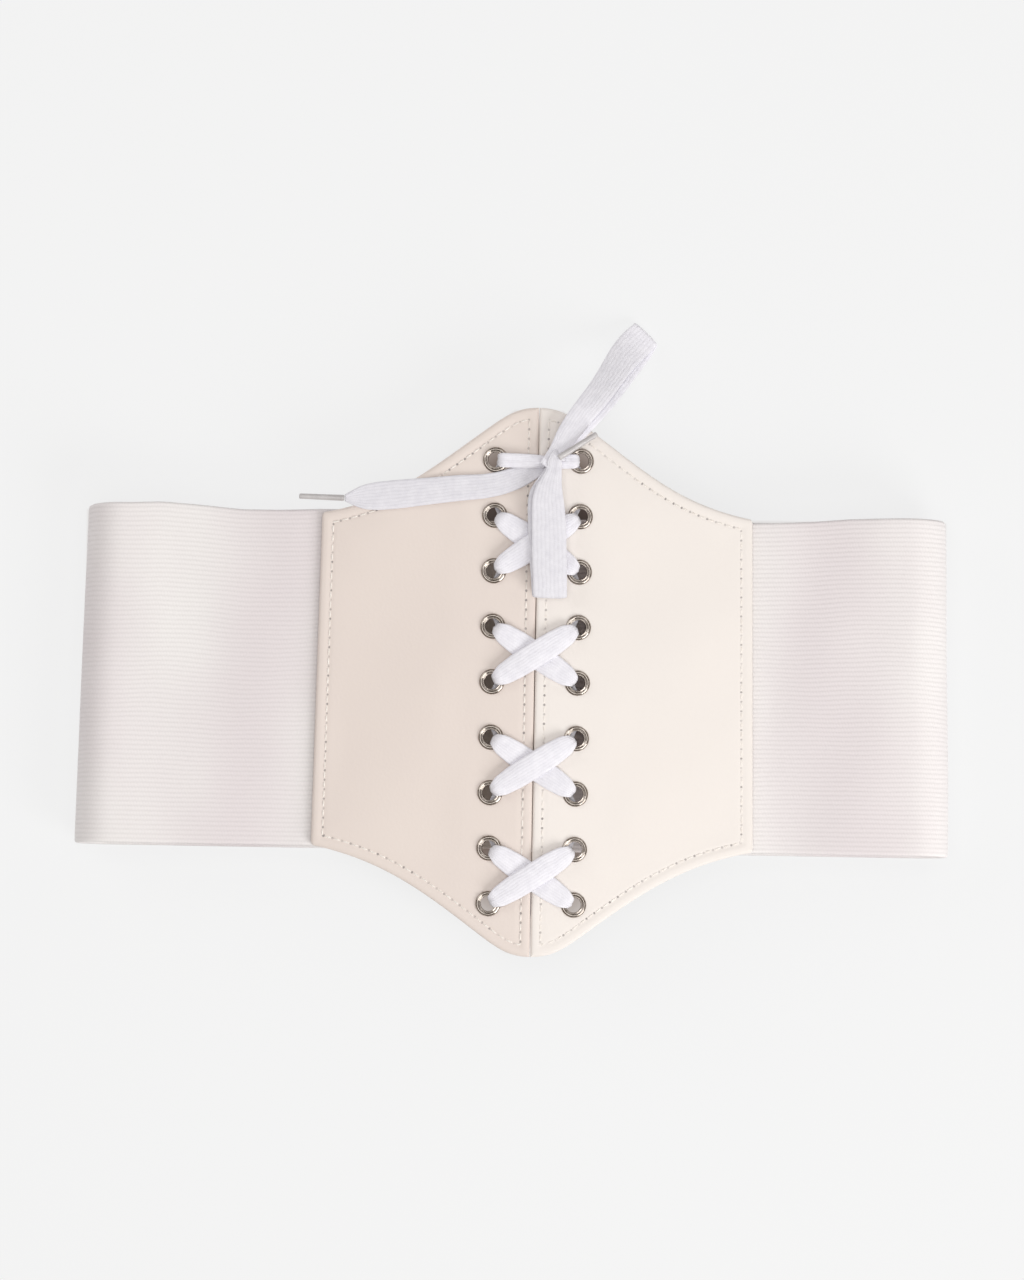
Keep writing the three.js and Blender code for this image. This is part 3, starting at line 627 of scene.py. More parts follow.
def elastic_band(side, sign, reach, slant):
    """The band is ruled between its two edge lines. With v from 0 at the lower edge to 1 at the
    upper one, each face stands half a thickness off the middle, which closes to a round selvedge
    at both edges, and the face waves gently and swells a little over each rib."""
    lower, upper = (band_line(sign, reach, slant, edge) for edge in (-1, 1))
    v, face = both_faces(np.linspace(0, 1, 4 * RIBS + 1))
    middle = lower[:, None] + (upper - lower)[:, None] * v[None, :, None]
    along = np.gradient(middle, axis=0)
    out = unit(np.cross(along, (upper - lower)[:, None]))
    out *= np.sign(out[2, 0, 2])
    closing = np.clip(1 - np.abs(2 * v - 1) ** 90, 0, 1) ** 0.45
    length = lengths(middle[:, len(v) // 4])[:, None]
    wander = 0.24 * np.sin(length / 9 + 7 * v) + 0.14 * np.sin(length / 3.7 + 23 * v)
    woven_at = v * BAND_HEIGHT + wander * np.sin(np.pi * v)
    swell = RIB_SWELL * np.abs(np.sin(np.pi * RIBS / BAND_HEIGHT * woven_at)) * closing
    lift = face * (BAND_THICKNESS / 2 * closing) + face * swell
    front = smooth(np.clip((length - BAND_OVERLAP) / WAVES_GROW, 0, 1))
    front *= 1 - smooth(np.clip((length - WAVES_END) / WAVES_FADE, 0, 1))
    slow = np.sin(length / 11 + 2.2 * v + WAVE_START[sign])
    wave = SLOW_WAVE * slow + QUICK_WAVE * np.sin(length / 5.5 - 9 * v)
    points = middle + out * (lift + front * wave)[..., None]
    made = wrapped(f"elastic_{side}_webbing", points, (length, woven_at), elastic_material)
    dressed(made, f"elastic_{side}")


for side, sign, reach, slant in SIDES:
    elastic_band(side, sign, reach, slant)


# The front panels: ivory coated cloth on a stiff backing, turned over at the edges and topstitched
# once, a few millimetres inside, with nine holes for eyelets beside the seam.
PANEL_PEAK = 100
PANEL_SHOULDER = 61
SEAM_EDGE = 0.13
CORNER = 2
FLANK = [(0, 1), (0.113, 1), (0.164, 0.903), (0.302, 0.697), (0.541, 0.333), (0.7, 0.118)]
EYELET_ROWS = 9
EYELET_PITCH = 20.2
EYELET_OFFSET = 15.5
PANEL_HOLE = 3.45
TURNED_EDGE = PANEL_THICKNESS / 2
MEAN_HALF_HEIGHT = 80
STITCH_INSET = 3.5
FLANK_STITCH_INSET = 4.2
OUTER_STITCH_INSET = 4.1
STITCH = 3.46
GROOVE_DEPTH = 0.2
GROOVE_PAST_STITCH = 0.4
PUFF_HEIGHT = 0.12
PUFF_INSET = 2.1
PLAIN_STRIP = 24
LEAN = 0.018
LEAN_FROM = 25
LEAN_SPAN = 50
STITCHES_REACH = 3.5
FAR_AWAY = 50.0
# The left panel's tones are darker and warmer than the right's: painted shade for the panel that
# faces away from the key lamp.
PANEL_TONES_WITH_PAINTED_SHADE = {
    "left": ((0.80, 0.713, 0.657), (0.78, 0.692, 0.642)),
    "right": ((0.868, 0.814, 0.77), (0.845, 0.796, 0.756)),
}

eyelet_y = ((EYELET_ROWS + 1) / 2 - np.arange(1, EYELET_ROWS + 1)) * EYELET_PITCH


def bezier(points, steps):
    """A curve through shares t of its control points, each weighed by its binomial share."""
    t = np.linspace(0, 1, steps)[:, None]
    points = np.asarray(points, float)
    if len(points) == 3:
        return (1 - t) ** 2 * points[0] + 2 * t * (1 - t) * points[1] + t**2 * points[2]
    near = (1 - t) ** 3 * points[0] + 3 * t * (1 - t) ** 2 * points[1]
    return near + 3 * t**2 * (1 - t) * points[2] + t**3 * points[3]


flank_size = [PANEL_WIDTH - SEAM_EDGE, PANEL_PEAK - PANEL_SHOULDER]
flank_marks = np.array([SEAM_EDGE, PANEL_SHOULDER]) + np.array(FLANK) * flank_size
flank_corner = [
    (PANEL_WIDTH - CORNER, PANEL_SHOULDER),
    (PANEL_WIDTH, PANEL_SHOULDER),
    (PANEL_WIDTH, PANEL_SHOULDER - CORNER),
]
flank_line = np.concatenate(
    [
        bezier(flank_marks[:4], 40),
        bezier([*flank_marks[3:], flank_corner[0]], 60)[1:],
        bezier(flank_corner, 20)[1:],
    ]
)
flank_fall = np.gradient(flank_line[:, 1], flank_line[:, 0])


def half_height(u):
    """The flank's height at a distance from the seam."""
    return np.interp(u, flank_line[:, 0], flank_line[:, 1])


def inset_of(u, y):
    """How far inside the panel's outline a point is: the least of its distances from the seam
    edge, the outer edge and the flank, which is measured square to the flank's slope."""
    lean = 1 / np.sqrt(1 + np.interp(u, flank_line[:, 0], flank_fall) ** 2)
    flank = (half_height(u) - np.abs(y)) * lean
    return np.minimum(np.minimum(u - SEAM_EDGE, PANEL_WIDTH - u), flank)


def panel_lift(u, y, side):
    """The face's small relief: a quarter round at the edge, a groove along the stitching, a puffed
    rim outside it, and slow waves in the open cloth away from the eyelets."""
    inset = inset_of(u, y)
    rounding = np.clip(TURNED_EDGE - inset, 0, TURNED_EDGE)
    edge = TURNED_EDGE - np.sqrt(TURNED_EDGE**2 - rounding**2)
    groove = GROOVE_DEPTH * np.exp(-(((inset - STITCH_INSET - GROOVE_PAST_STITCH) / 0.7) ** 2))
    puff = PUFF_HEIGHT * np.exp(-(((inset - PUFF_INSET) / 0.9) ** 2))
    open_cloth = smooth(np.clip((u - PLAIN_STRIP) / 14, 0, 1)) * smooth(np.clip(inset / 12, 0, 1))
    waves = 0.28 * np.sin(u / 11 + y / 19 + side) + 0.2 * np.sin(y / 9 - u / 23 + 2 * side)
    return edge, puff - groove, open_cloth * waves


def leaned(u, y):
    """A panel is a little wider below than above: its outer part leans by a share of the height."""
    return u - LEAN * y * smooth(np.clip((u - LEAN_FROM) / LEAN_SPAN, 0, 1))


def stitch_line():
    """The closed line that the stitching follows: the outline moved inwards, more at the flanks."""
    inner, outer = SEAM_EDGE + STITCH_INSET, PANEL_WIDTH - OUTER_STITCH_INSET
    u = np.linspace(inner, outer, 90)
    fall = np.interp(u, flank_line[:, 0], flank_fall)
    top = half_height(u) - FLANK_STITCH_INSET * np.sqrt(1 + fall**2)
    upper = np.stack([u, top], axis=1)
    lower = np.stack([u[::-1], -top[::-1]], axis=1)
    return np.concatenate([upper, lower, upper[:1]])


stitch_path = stitch_line()
stitch_gaps = np.linalg.norm(np.diff(stitch_path, axis=0), axis=1)
stitch_at = np.concatenate([[0], np.cumsum(stitch_gaps)])
stitch_count = int(round(stitch_at[-1] / STITCH))
stitch_pitch = stitch_at[-1] / stitch_count


def stitch_place(u, y):
    """Each point's length along the stitching and its distance from it, by the nearest stretch.
    Points far from the stitching are put far away on the cloth, so that no needle hole shows."""
    place = np.stack([np.zeros(u.size), np.full(u.size, FAR_AWAY)], axis=1)
    near = np.nonzero(inset_of(u.ravel(), y.ravel()) < STITCH_INSET + STITCHES_REACH)[0]
    points = np.stack([u.ravel()[near], y.ravel()[near]], axis=1)
    start, way = stitch_path[:-1], np.diff(stitch_path, axis=0)
    share = ((points[:, None] - start) * way).sum(-1) / (way**2).sum(-1)
    share = np.clip(share, 0, 1)
    foot = start + share[..., None] * way
    apart = np.linalg.norm(points[:, None] - foot, axis=-1)
    best = apart.argmin(axis=1)
    rows = np.arange(len(near))
    place[near, 0] = stitch_at[best] + share[rows, best] * stitch_gaps[best]
    place[near, 1] = apart[rows, best]
    return place


# Coated grain is used by the panels and the clasp: fine pebbles with hair-thin creases.
grain, given = new_group(
    "coated grain", {"Place": "Vector", "Pebble": "Float"}, {"Height": "Float"}
)
pebbles = put(
    grain,
    "ShaderNodeTexVoronoi",
    {"Vector": given["Place"], "Scale": given["Pebble"]},
    feature="SMOOTH_F1",
)
creases = noise(grain, given["Place"], given["Pebble"], 4.0)
height = maths(grain, "ADD", pebbles.outputs["Distance"], creases)
put(grain, "NodeGroupOutput", {"Height": height})

PEBBLE = 900.0
BACK_SHADE_TONE = (0.36, 0.29, 0.245, 1)
BACK_SHADE_AT = 80.0
HOLE_DEPTH = 4.0
HOLE_RIM = (0.28, 0.6)


def coated_cloth(name, tones, stitched):
    """Coated cloth with a fine grain. If it is stitched, it has needle holes along the stitching,
    darkened by painted shade, and a back painted dark brown as shade, where the UV map is far from
    the stitching."""
    material, tree, shader, place = new_material(
        name,
        {"Roughness": 0.5, "Specular IOR Level": 0.35, "Coat Weight": 0.05, "Coat Roughness": 0.35},
    )
    tone = mottled(tree, place, 14, *tones)
    inputs = {"Place": place, "Pebble": PEBBLE}
    height = put(tree, "ShaderNodeGroup", inputs, node_tree=grain).outputs["Height"]
    if stitched:
        cloth = parts(tree, put(tree, "ShaderNodeUVMap", uv_map="cloth").outputs[0])
        along = maths(tree, "PINGPONG", cloth["X"], stitch_pitch / 2)
        squares = [maths(tree, "POWER", way, 2.0) for way in (along, cloth["Y"])]
        apart = maths(tree, "SQRT", maths(tree, "ADD", *squares))
        hole = ranged(tree, apart, *HOLE_RIM, 1.0, 0.0, interpolation_type="SMOOTHSTEP")
        # The needle holes are darkened with painted shade, by a share that differs from hole to hole.
        hole_shade_share = ranged(tree, noise(tree, place, 190.0, 1.0), 0.3, 0.62)
        tone = with_painted_shade(tree, tone, maths(tree, "MULTIPLY", hole, hole_shade_share), factor=0.95)
        height = maths(tree, "SUBTRACT", height, maths(tree, "MULTIPLY", hole, HOLE_DEPTH))
        # Behind the panel, the back is painted dark brown: painted shade inside the belt.
        behind = maths(tree, "GREATER_THAN", cloth["Y"], 0.9 * BACK_SHADE_AT)
        tone = blended(tree, behind, tone, BACK_SHADE_TONE)
    surfaced(tree, shader, tone, height, strength=0.25, distance=0.00012)
    return material


def edge_steps(length, spacing):
    """Steps from 0 to length: finer through the round edge at both ends, even between them."""
    fine = TURNED_EDGE * (1 - np.cos(np.linspace(0, np.pi / 2, 8)))
    count = int(round((length - 2 * TURNED_EDGE) / spacing)) + 1
    even = np.linspace(TURNED_EDGE, length - TURNED_EDGE, count)[1:-1]
    return np.concatenate([fine, even, length - fine[::-1]])


def front_panel(side, sign):
    """The panel is a grid of columns from the seam out and of rows from the lower flank to the
    upper one. Its face and back share the outline, and its holes are cells left out, whose rims are
    moved onto circles and joined through the thickness."""
    u = SEAM_EDGE + edge_steps(PANEL_WIDTH - SEAM_EDGE, spacing=0.8)
    q = edge_steps(2 * MEAN_HALF_HEIGHT, spacing=0.75) / MEAN_HALF_HEIGHT - 1
    u, q = np.meshgrid(u, q, indexing="ij")
    y = q * half_height(u)
    middle = (u[1:, 1:] + u[:-1, :-1]) / 2, (y[1:, 1:] + y[:-1, :-1]) / 2
    away = np.hypot(middle[0][..., None] - EYELET_OFFSET, middle[1][..., None] - eyelet_y)
    cut = (away < PANEL_HOLE).any(axis=-1)
    # A rim's points are corners both of cells that are left out and of cells that are kept.
    corners = np.zeros((4, *u.shape), bool)
    for k, (i, j) in enumerate(((0, 0), (0, 1), (1, 0), (1, 1))):
        corners[k, i : i + cut.shape[0], j : j + cut.shape[1]] = cut
    rim = corners.any(axis=0) & ~corners.all(axis=0)
    nearest = eyelet_y[np.abs(y[..., None] - eyelet_y).argmin(axis=-1)]
    apart = np.hypot(u - EYELET_OFFSET, y - nearest)
    pull = np.where(rim, PANEL_HOLE / np.maximum(apart, 0.1), 1)
    u = EYELET_OFFSET + (u - EYELET_OFFSET) * pull
    y = nearest + (y - nearest) * pull
    edge, relief, waves = panel_lift(u, y, sign)
    face = panel_top(u) - edge + relief + waves
    back = panel_under(u) + edge + waves
    border = np.zeros(u.shape, bool)
    border[[0, -1]] = True
    border[:, [0, -1]] = True
    face = np.where(border, (face + back) / 2, face)
    points = [np.stack([sign * leaned(u, y), y, z], axis=-1) for z in (face, back)]
    over = np.arange(u.size).reshape(u.shape)
    under = np.where(border, over, over + u.size)

    def cells(index):
        """The faces of the cells that aren't left out."""
        quads = np.stack([index[:-1, :-1], index[1:, :-1], index[1:, 1:], index[:-1, 1:]], axis=-1)
        return quads[~cut]

    faces = [cells(over), cells(under)[:, ::-1]]
    inner, near, far = slice(1, -1), slice(None, -1), slice(1, None)
    for wall, a, b in (
        (cut[:-1] != cut[1:], (inner, near), (inner, far)),
        (cut[:, :-1] != cut[:, 1:], (near, inner), (far, inner)),
    ):
        sides = [over[a][wall], over[b][wall], under[b][wall], under[a][wall]]
        faces.append(np.stack(sides, axis=-1))
    cloth = np.concatenate([stitch_place(u, y), np.tile((0, BACK_SHADE_AT), (u.size, 1))])
    made = piece(
        f"panel_{side}_cloth",
        points,
        np.concatenate(faces),
        coated_cloth(f"{side} coated cloth", PANEL_TONES_WITH_PAINTED_SHADE[side], stitched=True),
        cloth.T,
    )
    dressed(made, f"panel_{side}")


# The topstitching: ivory sewing thread, with one short thread for each stitch, sewn through the
# panel a few millimetres inside its edge. It replaces no solid, since the CAD leaves it out.
THREAD_RADIUS = 0.29
THREAD_FLATNESS = 0.8
THREAD_LIFT = 0.07
THREAD_DIP = 0.26
STITCH_HALF_SHARE = 0.40

thread_material, tree, shader, place = new_material(
    "sewing thread", {"Roughness": 0.7, "Sheen Weight": 0.2}
)
tone = mottled(tree, place, 400, (0.95, 0.91, 0.86), (0.84, 0.78, 0.72))
tree.links.new(tone, shader.inputs["Base Color"])


def topstitching(side, sign):
    """Each stitch is an oval of eight sides. With t from -1 at one needle hole to 1 at the other,
    its half width is the thread's times the root of one less most of t's square, and it dips into
    the cloth with the fourth power of t."""
    centre = (np.arange(stitch_count) + 0.5) * stitch_pitch
    t = np.linspace(-1, 1, 6)
    along = centre[:, None] + t[None] * STITCH_HALF_SHARE * stitch_pitch
    along %= stitch_at[-1]
    u = np.interp(along, stitch_at, stitch_path[:, 0])
    y = np.interp(along, stitch_at, stitch_path[:, 1])
    way = unit(np.stack([np.gradient(u, axis=1), np.gradient(y, axis=1)], axis=-1))
    edge, relief, waves = panel_lift(u, y, sign)
    z = panel_top(u) - edge + relief + waves + THREAD_LIFT - THREAD_DIP * t[None] ** 4
    angles = circle(8)
    half = THREAD_RADIUS * np.sqrt(np.clip(1 - 0.92 * t**2, 0.05, 1))
    across = np.cos(angles)[None, None] * half[None, :, None]
    up = np.sin(angles)[None, None] * half[None, :, None] * THREAD_FLATNESS
    points = np.stack(
        [
            sign * (leaned(u, y)[..., None] - way[..., 1:2] * across),
            y[..., None] + way[..., 0:1] * across,
            z[..., None] + up,
        ],
        axis=-1,
    )
    count, rows, around = points.shape[:3]
    index = np.arange(count * rows * around).reshape(count, rows, around)
    turned = np.roll(index, -1, axis=2)
    quads = np.stack([index[:, :-1], turned[:, :-1], turned[:, 1:], index[:, 1:]], axis=-1)
    ends = []
    for end in (index[:, 0], index[:, -1]):
        ends += [end[:, [0, 1, 2, 3]], end[:, [0, 3, 4, 7]], end[:, [4, 5, 6, 7]]]
    faces = np.concatenate([quads.reshape(-1, 4), *ends])
    made = piece(f"stitches_{side}", points, faces, thread_material)
    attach(made, "root")


for side, sign, _, _ in SIDES:
    front_panel(side, sign)
    topstitching(side, sign)


# The clasp behind: one plain moulded strip with a slot along each side, where the bands' ends are
# sewn in. Its corners and ends are rounded.
CLASP_HEIGHT = 120
CLASP_FLANGE = 1.2
CLASP_ROUNDING = 0.45

CLASP_TONES = ((0.82, 0.76, 0.70), (0.80, 0.735, 0.675))

clasp_material = coated_cloth("plain ivory strip", CLASP_TONES, stitched=False)


def clasp():
    """The section, an H on its side, carried along the strip, with every corner cut by two short
    steps, and drawn in by a quarter round over the first and last half millimetre."""
    half, web = CLASP_WIDTH / 2, CLASP_WEB / 2
    low = CLASP_FLANGE
    high = CLASP_FLANGE + BAND_THICKNESS + 2 * GAP
    top = high + CLASP_FLANGE
    right = [(half, 0), (half, low), (web, low), (web, high), (half, high), (half, top)]
    left = [(-x, z) for x, z in right[::-1]]
    outline = np.array(right + left, float)
    before, after = np.roll(outline, 1, axis=0), np.roll(outline, -1, axis=0)
    reach = CLASP_ROUNDING
    first = outline + unit(before - outline) * reach
    second = outline + unit(after - outline) * reach
    nearer = (first + second + 2 * outline) / 4
    section = np.stack([first, nearer, second], axis=1).reshape(-1, 2)
    ahead = unit(np.roll(section, -1, axis=0) - np.roll(section, 1, axis=0))
    inward = np.stack([-ahead[:, 1], ahead[:, 0]], axis=1)
    turn = np.linspace(0, np.pi / 2, 4)
    ends = CLASP_ROUNDING * (1 - np.sin(turn))
    low_end = CLASP_ROUNDING - CLASP_ROUNDING * np.cos(turn)
    even = np.linspace(1, CLASP_HEIGHT - 1, 40)
    y = np.concatenate([low_end, even, CLASP_HEIGHT - low_end[::-1]])
    pulled = np.concatenate([ends, 0 * even, ends[::-1]])
    shape = section[None] + inward[None] * pulled[:, None, None]
    across = np.broadcast_to(y[:, None] - CLASP_HEIGHT / 2 - BACK_DROP, shape.shape[:2])
    points = np.stack([CLASP_X + shape[..., 0], across, shape[..., 1]], axis=-1)
    index, sides = ring_faces(*points.shape[:2])
    faces = sides.tolist() + index[[0, -1]].tolist()
    made = piece("back_clasp_strip", points, faces, clasp_material)
    dressed(made, "back_clasp")


clasp()


# The eyelets: eighteen pressed nickel rings. Each has a rolled rim, a valley and a thin inner lip on
# the face, a barrel through the panel, and a washer behind that the barrel is spread over.
# The ring's section: distances from the axis, and heights above the panel's face.
RIM_SECTION = [
    (2.75, -0.6), (2.75, 0.35), (2.79, 0.56), (2.87, 0.7), (2.97, 0.745), (3.07, 0.73),
    (3.18, 0.65), (3.26, 0.58), (3.34, 0.6), (3.48, 0.73), (3.62, 0.87), (3.74, 0.95),
    (3.88, 0.985), (4.02, 0.975), (4.16, 0.91), (4.32, 0.79), (4.47, 0.64), (4.58, 0.48),
    (4.64, 0.26), (4.64, 0.04), (4.55, -0.02), (3.6, -0.02), (3.2, -0.1),
]
# The washer's section: distances from the axis, and depths below the panel's underside.
WASHER_SECTION = [
    (3.2, 0.0), (4.3, 0.0), (4.4, 0.1), (4.4, 0.3), (4.2, 0.42), (3.6, 0.5), (3.1, 0.72),
    (2.85, 0.7), (2.75, 0.5),
]

nickel, tree, shader, place = new_material("pressed nickel", {"Metallic": 1.0})
tone = mottled(tree, place, 500, (0.46, 0.41, 0.37), (0.32, 0.28, 0.245))
wear = noise(tree, place, 1500.0, 3.0)
surfaced(tree, shader, tone, wear, strength=0.08, distance=0.0001)
tree.links.new(ranged(tree, wear, 0.0, 1.0, 0.05, 0.15), shader.inputs["Roughness"])

ring = np.array(RIM_SECTION) + [0, PANEL_THICKNESS / 2]
washer = np.array(WASHER_SECTION) * [1, -1] - [0, PANEL_THICKNESS / 2]
ring_section = np.concatenate([ring, washer])


def eyelet(side, sign, row):
    """The closed section turned round the hole's axis in 44 steps, square to the panel's slope."""
    x = sign * EYELET_OFFSET
    slope = np.arctan(panel_slope(x)) * sign
    at = np.array([x, eyelet_y[row - 1], panel_under(x) + PANEL_THICKNESS / 2])
    across = np.array([np.cos(slope), 0, -np.sin(slope)])
    out = np.array([np.sin(slope), 0, np.cos(slope)])
    angles = circle(44)
    round_it = np.cos(angles)[:, None] * across + np.sin(angles)[:, None] * np.array([0, 1.0, 0])
    points = at + ring_section[:, None, :1] * round_it[None] + ring_section[:, None, 1:] * out
    faces = ring_faces(*points.shape[:2], closed=True)[1]
    made = piece(f"eyelet_{side}_{row}_ring", points, faces, nickel)
    dressed(made, f"eyelet_{side}_{row}")


for side, sign, _, _ in SIDES:
    for row in range(1, EYELET_ROWS + 1):
        eyelet(side, sign, row)


# The laced stretch: one lace that goes down through the eyelets and back up, with four crosses on
# the front, and a short straight bar from each top eyelet to the knot.
LACED_WIDTH = 9.2
LACED_THICKNESS = 1.9
STACK_LIFT = 2.95
BED_LIFT = 1.05
KNOT_RADIUS = 4.2
# Where the lace leaves an eyelet: distance from its axis, lift off the panel, width, thickness.
FRONT_RIM = [
    (1.1, -0.7, 4.0, 1.2), (1.2, 0.8, 4.4, 1.4), (2.0, 2.0, 5.3, 1.6), (3.3, 2.35, 6.6, 1.7),
    (4.8, 2.1, 7.7, 1.8),
]
BACK_RIM = [(0.2, 0.9, 2.6, 1.2), (1.0, 1.6, 3.2, 1.3), (2.4, 1.9, 4.6, 1.3), (4.0, 1.65, 5.8, 1.3)]
# Behind the panels the lace runs this much nearer to the seam than the eyelets' middles.
BACK_SHIFT = 2.3
BAR_WIDTH = 5.3


def level_along(way, x):
    """The way square to a route in the plan, tipped to lie along the panel."""
    across = unit(np.array([-way[1], way[0], 0.0]))
    across[2] = -across[0] * np.clip(x / LACED_WIDTH, -1, 1) * panel_slope(x)
    return unit(across)


def station(at, way, front, lift, width, thickness):
    """One row of a laced route: its place, its way across, its width and its thickness."""
    z = panel_top(at[0]) + lift if front else panel_under(at[0]) - lift
    return [*at, z, *level_along(way, at[0]), width, thickness]


def laced_run(start, end, front, middle_lift):
    """From one eyelet to the next: out over the rim, down onto the panel, and the same mirrored."""
    start, end = np.array(start), np.array(end)
    if not front:
        start, end = (at - [np.sign(at[0]) * BACK_SHIFT, 0] for at in (start, end))
    length = np.linalg.norm(end - start)
    way = (end - start) / length
    rim = FRONT_RIM if front else BACK_RIM
    far, crest = rim[-1][0], rim[-1][1]
    span = length / 2 - far
    half = [
        *rim,
        (far + 0.4 * span, crest + 0.4 * (middle_lift - crest), 0.97 * LACED_WIDTH, LACED_THICKNESS),
        (far + 0.7 * span, middle_lift, LACED_WIDTH, LACED_THICKNESS),
    ]
    middle = [(length / 2, middle_lift, LACED_WIDTH, LACED_THICKNESS)]
    mirrored = [(length - out, *rest) for out, *rest in half[::-1]]
    rows = [*half, *middle, *mirrored]
    return [station(start + way * out, way, front, *rest) for out, *rest in rows]


def knot_bar(start):
    """From a top eyelet straight to the knot, where it narrows and tucks in under it."""
    start = np.array(start)
    apart = KNOT_AT[0] - start[0]
    reach = abs(apart)
    way = np.array([np.sign(apart), 0.0])
    rows = [
        *[(out, lift, min(width, BAR_WIDTH), thickness) for out, lift, width, thickness in FRONT_RIM],
        (0.6 * reach, 2.0, BAR_WIDTH, 1.6),
        (reach - KNOT_RADIUS, 2.1, 5.0, 1.7),
        (reach - 1.2, 2.1, 4.4, 1.8),
    ]
    falls = np.interp([row[0] for row in rows], [0, reach], [0, 0.5])
    return [
        station(start + way * out - np.array([0, fall]), way, True, *rest)
        for fall, (out, *rest) in zip(falls, rows)
    ]


# From the top left eyelet the lace goes behind the panel to the next row, over the front to the
# other side, and so on down. It comes back up by the mirrored way. At each cross, the strand that
# slants up to the right lies on top.
signs = [-1 if (row - 1) % 4 in (0, 1) else 1 for row in range(1, EYELET_ROWS + 1)]
visits = [(s * EYELET_OFFSET, y) for s, y in zip(signs, eyelet_y)]
visits += [(-x, y) for x, y in visits[::-1]]
lace_rows = knot_bar(visits[0])[::-1]
for i, (start, end) in enumerate(zip(visits[:-1], visits[1:])):
    front = i % 2 == 1
    over = (end[0] - start[0]) * (end[1] - start[1]) > 0
    lace_rows += laced_run(start, end, front, STACK_LIFT if front and over else BED_LIFT)
lace_rows += knot_bar(visits[-1])
lace_rows = np.array(lace_rows)
flips = np.where((lace_rows[1:, 3:6] * lace_rows[:-1, 3:6]).sum(axis=1) < 0, -1, 1)
lace_rows[1:, 3:6] *= np.cumprod(flips)[:, None]
lacing = ribbon(
    "lace_strands",
    eased(lace_rows, step=0.5, reach=0.55),
    across_steps=20,
    fold=0.3,
    seed=11,
    material=lace_material,
    fullness=2.3,
)
dressed(lacing, "lace")


# The knot: a turn of the lace pulled tight round the necks of both loops, gathered into a few
# deep folds.
KNOT_TURN = 62
KNOT_WRAP = (2.5, 1.9)
KNOT_BAND = 4.4
KNOT_SHIFT = (1.6, 1.3, -0.3)
KNOT_THICKNESS = 1.1
KNOT_FULLNESS = 2.6
KNOT_FOLD = 0.2
KNOT_LEAN = 0.9


def knot():
    """A band round an oval, in the plane square to the loops' axis. At angle a round the oval and v
    across the band, it stands off the oval by a rounded section, and three folds run round it."""
    turn = np.radians(KNOT_TURN)
    axis = np.array([np.cos(turn), np.sin(turn), 0])
    side = np.array([-np.sin(turn), np.cos(turn), 0])
    up = np.array([0, 0, 1.0])
    angles = circle(64)
    share, height = rounded_section(20, KNOT_FULLNESS)
    folds = KNOT_FOLD * np.sin(share * 6.5 + 1)[None] * (0.7 + 0.3 * np.sin(2 * angles + 1))[:, None]
    pinch = 1 - 0.2 * np.cos(2 * angles - 0.6)
    lift = (height * KNOT_THICKNESS / 2 + folds)[..., None]
    beside, above = np.cos(angles)[:, None] * side, np.sin(angles)[:, None] * up
    oval = beside * KNOT_WRAP[0] + above * KNOT_WRAP[1]
    outward = unit(beside / KNOT_WRAP[0] + above / KNOT_WRAP[1])
    lean = KNOT_LEAN * np.cos(angles)[:, None, None] * axis
    band = (share[None] * pinch[:, None] * KNOT_BAND / 2)[..., None] * axis
    points = KNOT_AT + KNOT_SHIFT + oval[:, None] + outward[:, None] * lift + band + lean
    faces = ring_faces(*points.shape[:2], closed=True)[1]
    cloth = (angles[:, None] * np.mean(KNOT_WRAP), share * LACE_WIDTH / 2)
    made = piece("bow_knot_wrap", points, faces, lace_material, cloth)
    dressed(made, "bow_knot")


knot()


# The bow's two loops: the lace runs out from the knot, turns over and comes back on top of itself,
# a little to one side, so that both plies show. Each is flattened by its own weight.
PLY_STEP = 2.1
LOOP_THICKNESS = 1.25
LOOP_REST = 0.95
LOOP_START = KNOT_AT[2] - 0.8
CROSS_LIFT = 3.8
UPPER_TURN = 53.5
UPPER_REACH = 59.7
LOWER_TURN = -89
LOWER_REACH = 48
# Each row: share of the loop's reach, share of its height, shift to the left, width of a ply, how
# far each ply lies from the middle, how much the plies tip, and the slant of their edges.
UPPER_LOOP = [
    (-0.02, 1.0, 0, 5.2, 0.2, 0, 0), (0.095, 1.0, 0, 6.0, 0.2, 0.02, 0),
    (0.2, 0.985, 0.3, 8.2, 0.7, 0.06, 0), (0.318, 0.965, 0.4, 8.8, 1.0, 0.09, 0),
    (0.42, 0.92, 0.1, 9.2, 1.2, 0.1, 0), (0.536, 0.74, -0.1, 9.6, 1.3, 0.1, 0),
    (0.653, 0.5, 0.4, 10.2, 1.3, 0.1, 0.0), (0.77, 0.27, 1.0, 11.2, 1.3, 0.08, 0.02),
    (0.87, 0.105, 1.1, 12.0, 0.9, 0.04, 0.05), (0.94, 0.025, 0.9, 12.3, 0.5, 0, 0.09),
    (0.985, 0.0, 0.8, 11.4, 0.3, 0, 0.12),
]
LOWER_LOOP = [
    (0.02, 0.94, 2.0, 5.4, 0.2, 0, 0), (0.06, 0.94, 1.8, 6.0, 0.3, 0.02, 0),
    (0.12, 0.95, 0.1, 8.3, 0.6, 0.06, 0), (0.2, 1.0, -1.0, 10.7, 0.8, 0.1, 0),
    (0.32, 1.03, -0.7, 12.0, 0.8, 0.08, 0), (0.5, 1.0, -0.3, 12.6, 0.65, 0.05, 0),
    (0.72, 0.99, 0, 12.6, 0.45, 0.03, 0), (0.85, 0.93, 0.3, 12.4, 0.35, 0, 0),
    (0.925, 0.78, 0.4, 12.3, 0.3, 0, 0.02), (0.975, 0.64, 0.5, 12.3, 0.25, 0, 0.03),
]


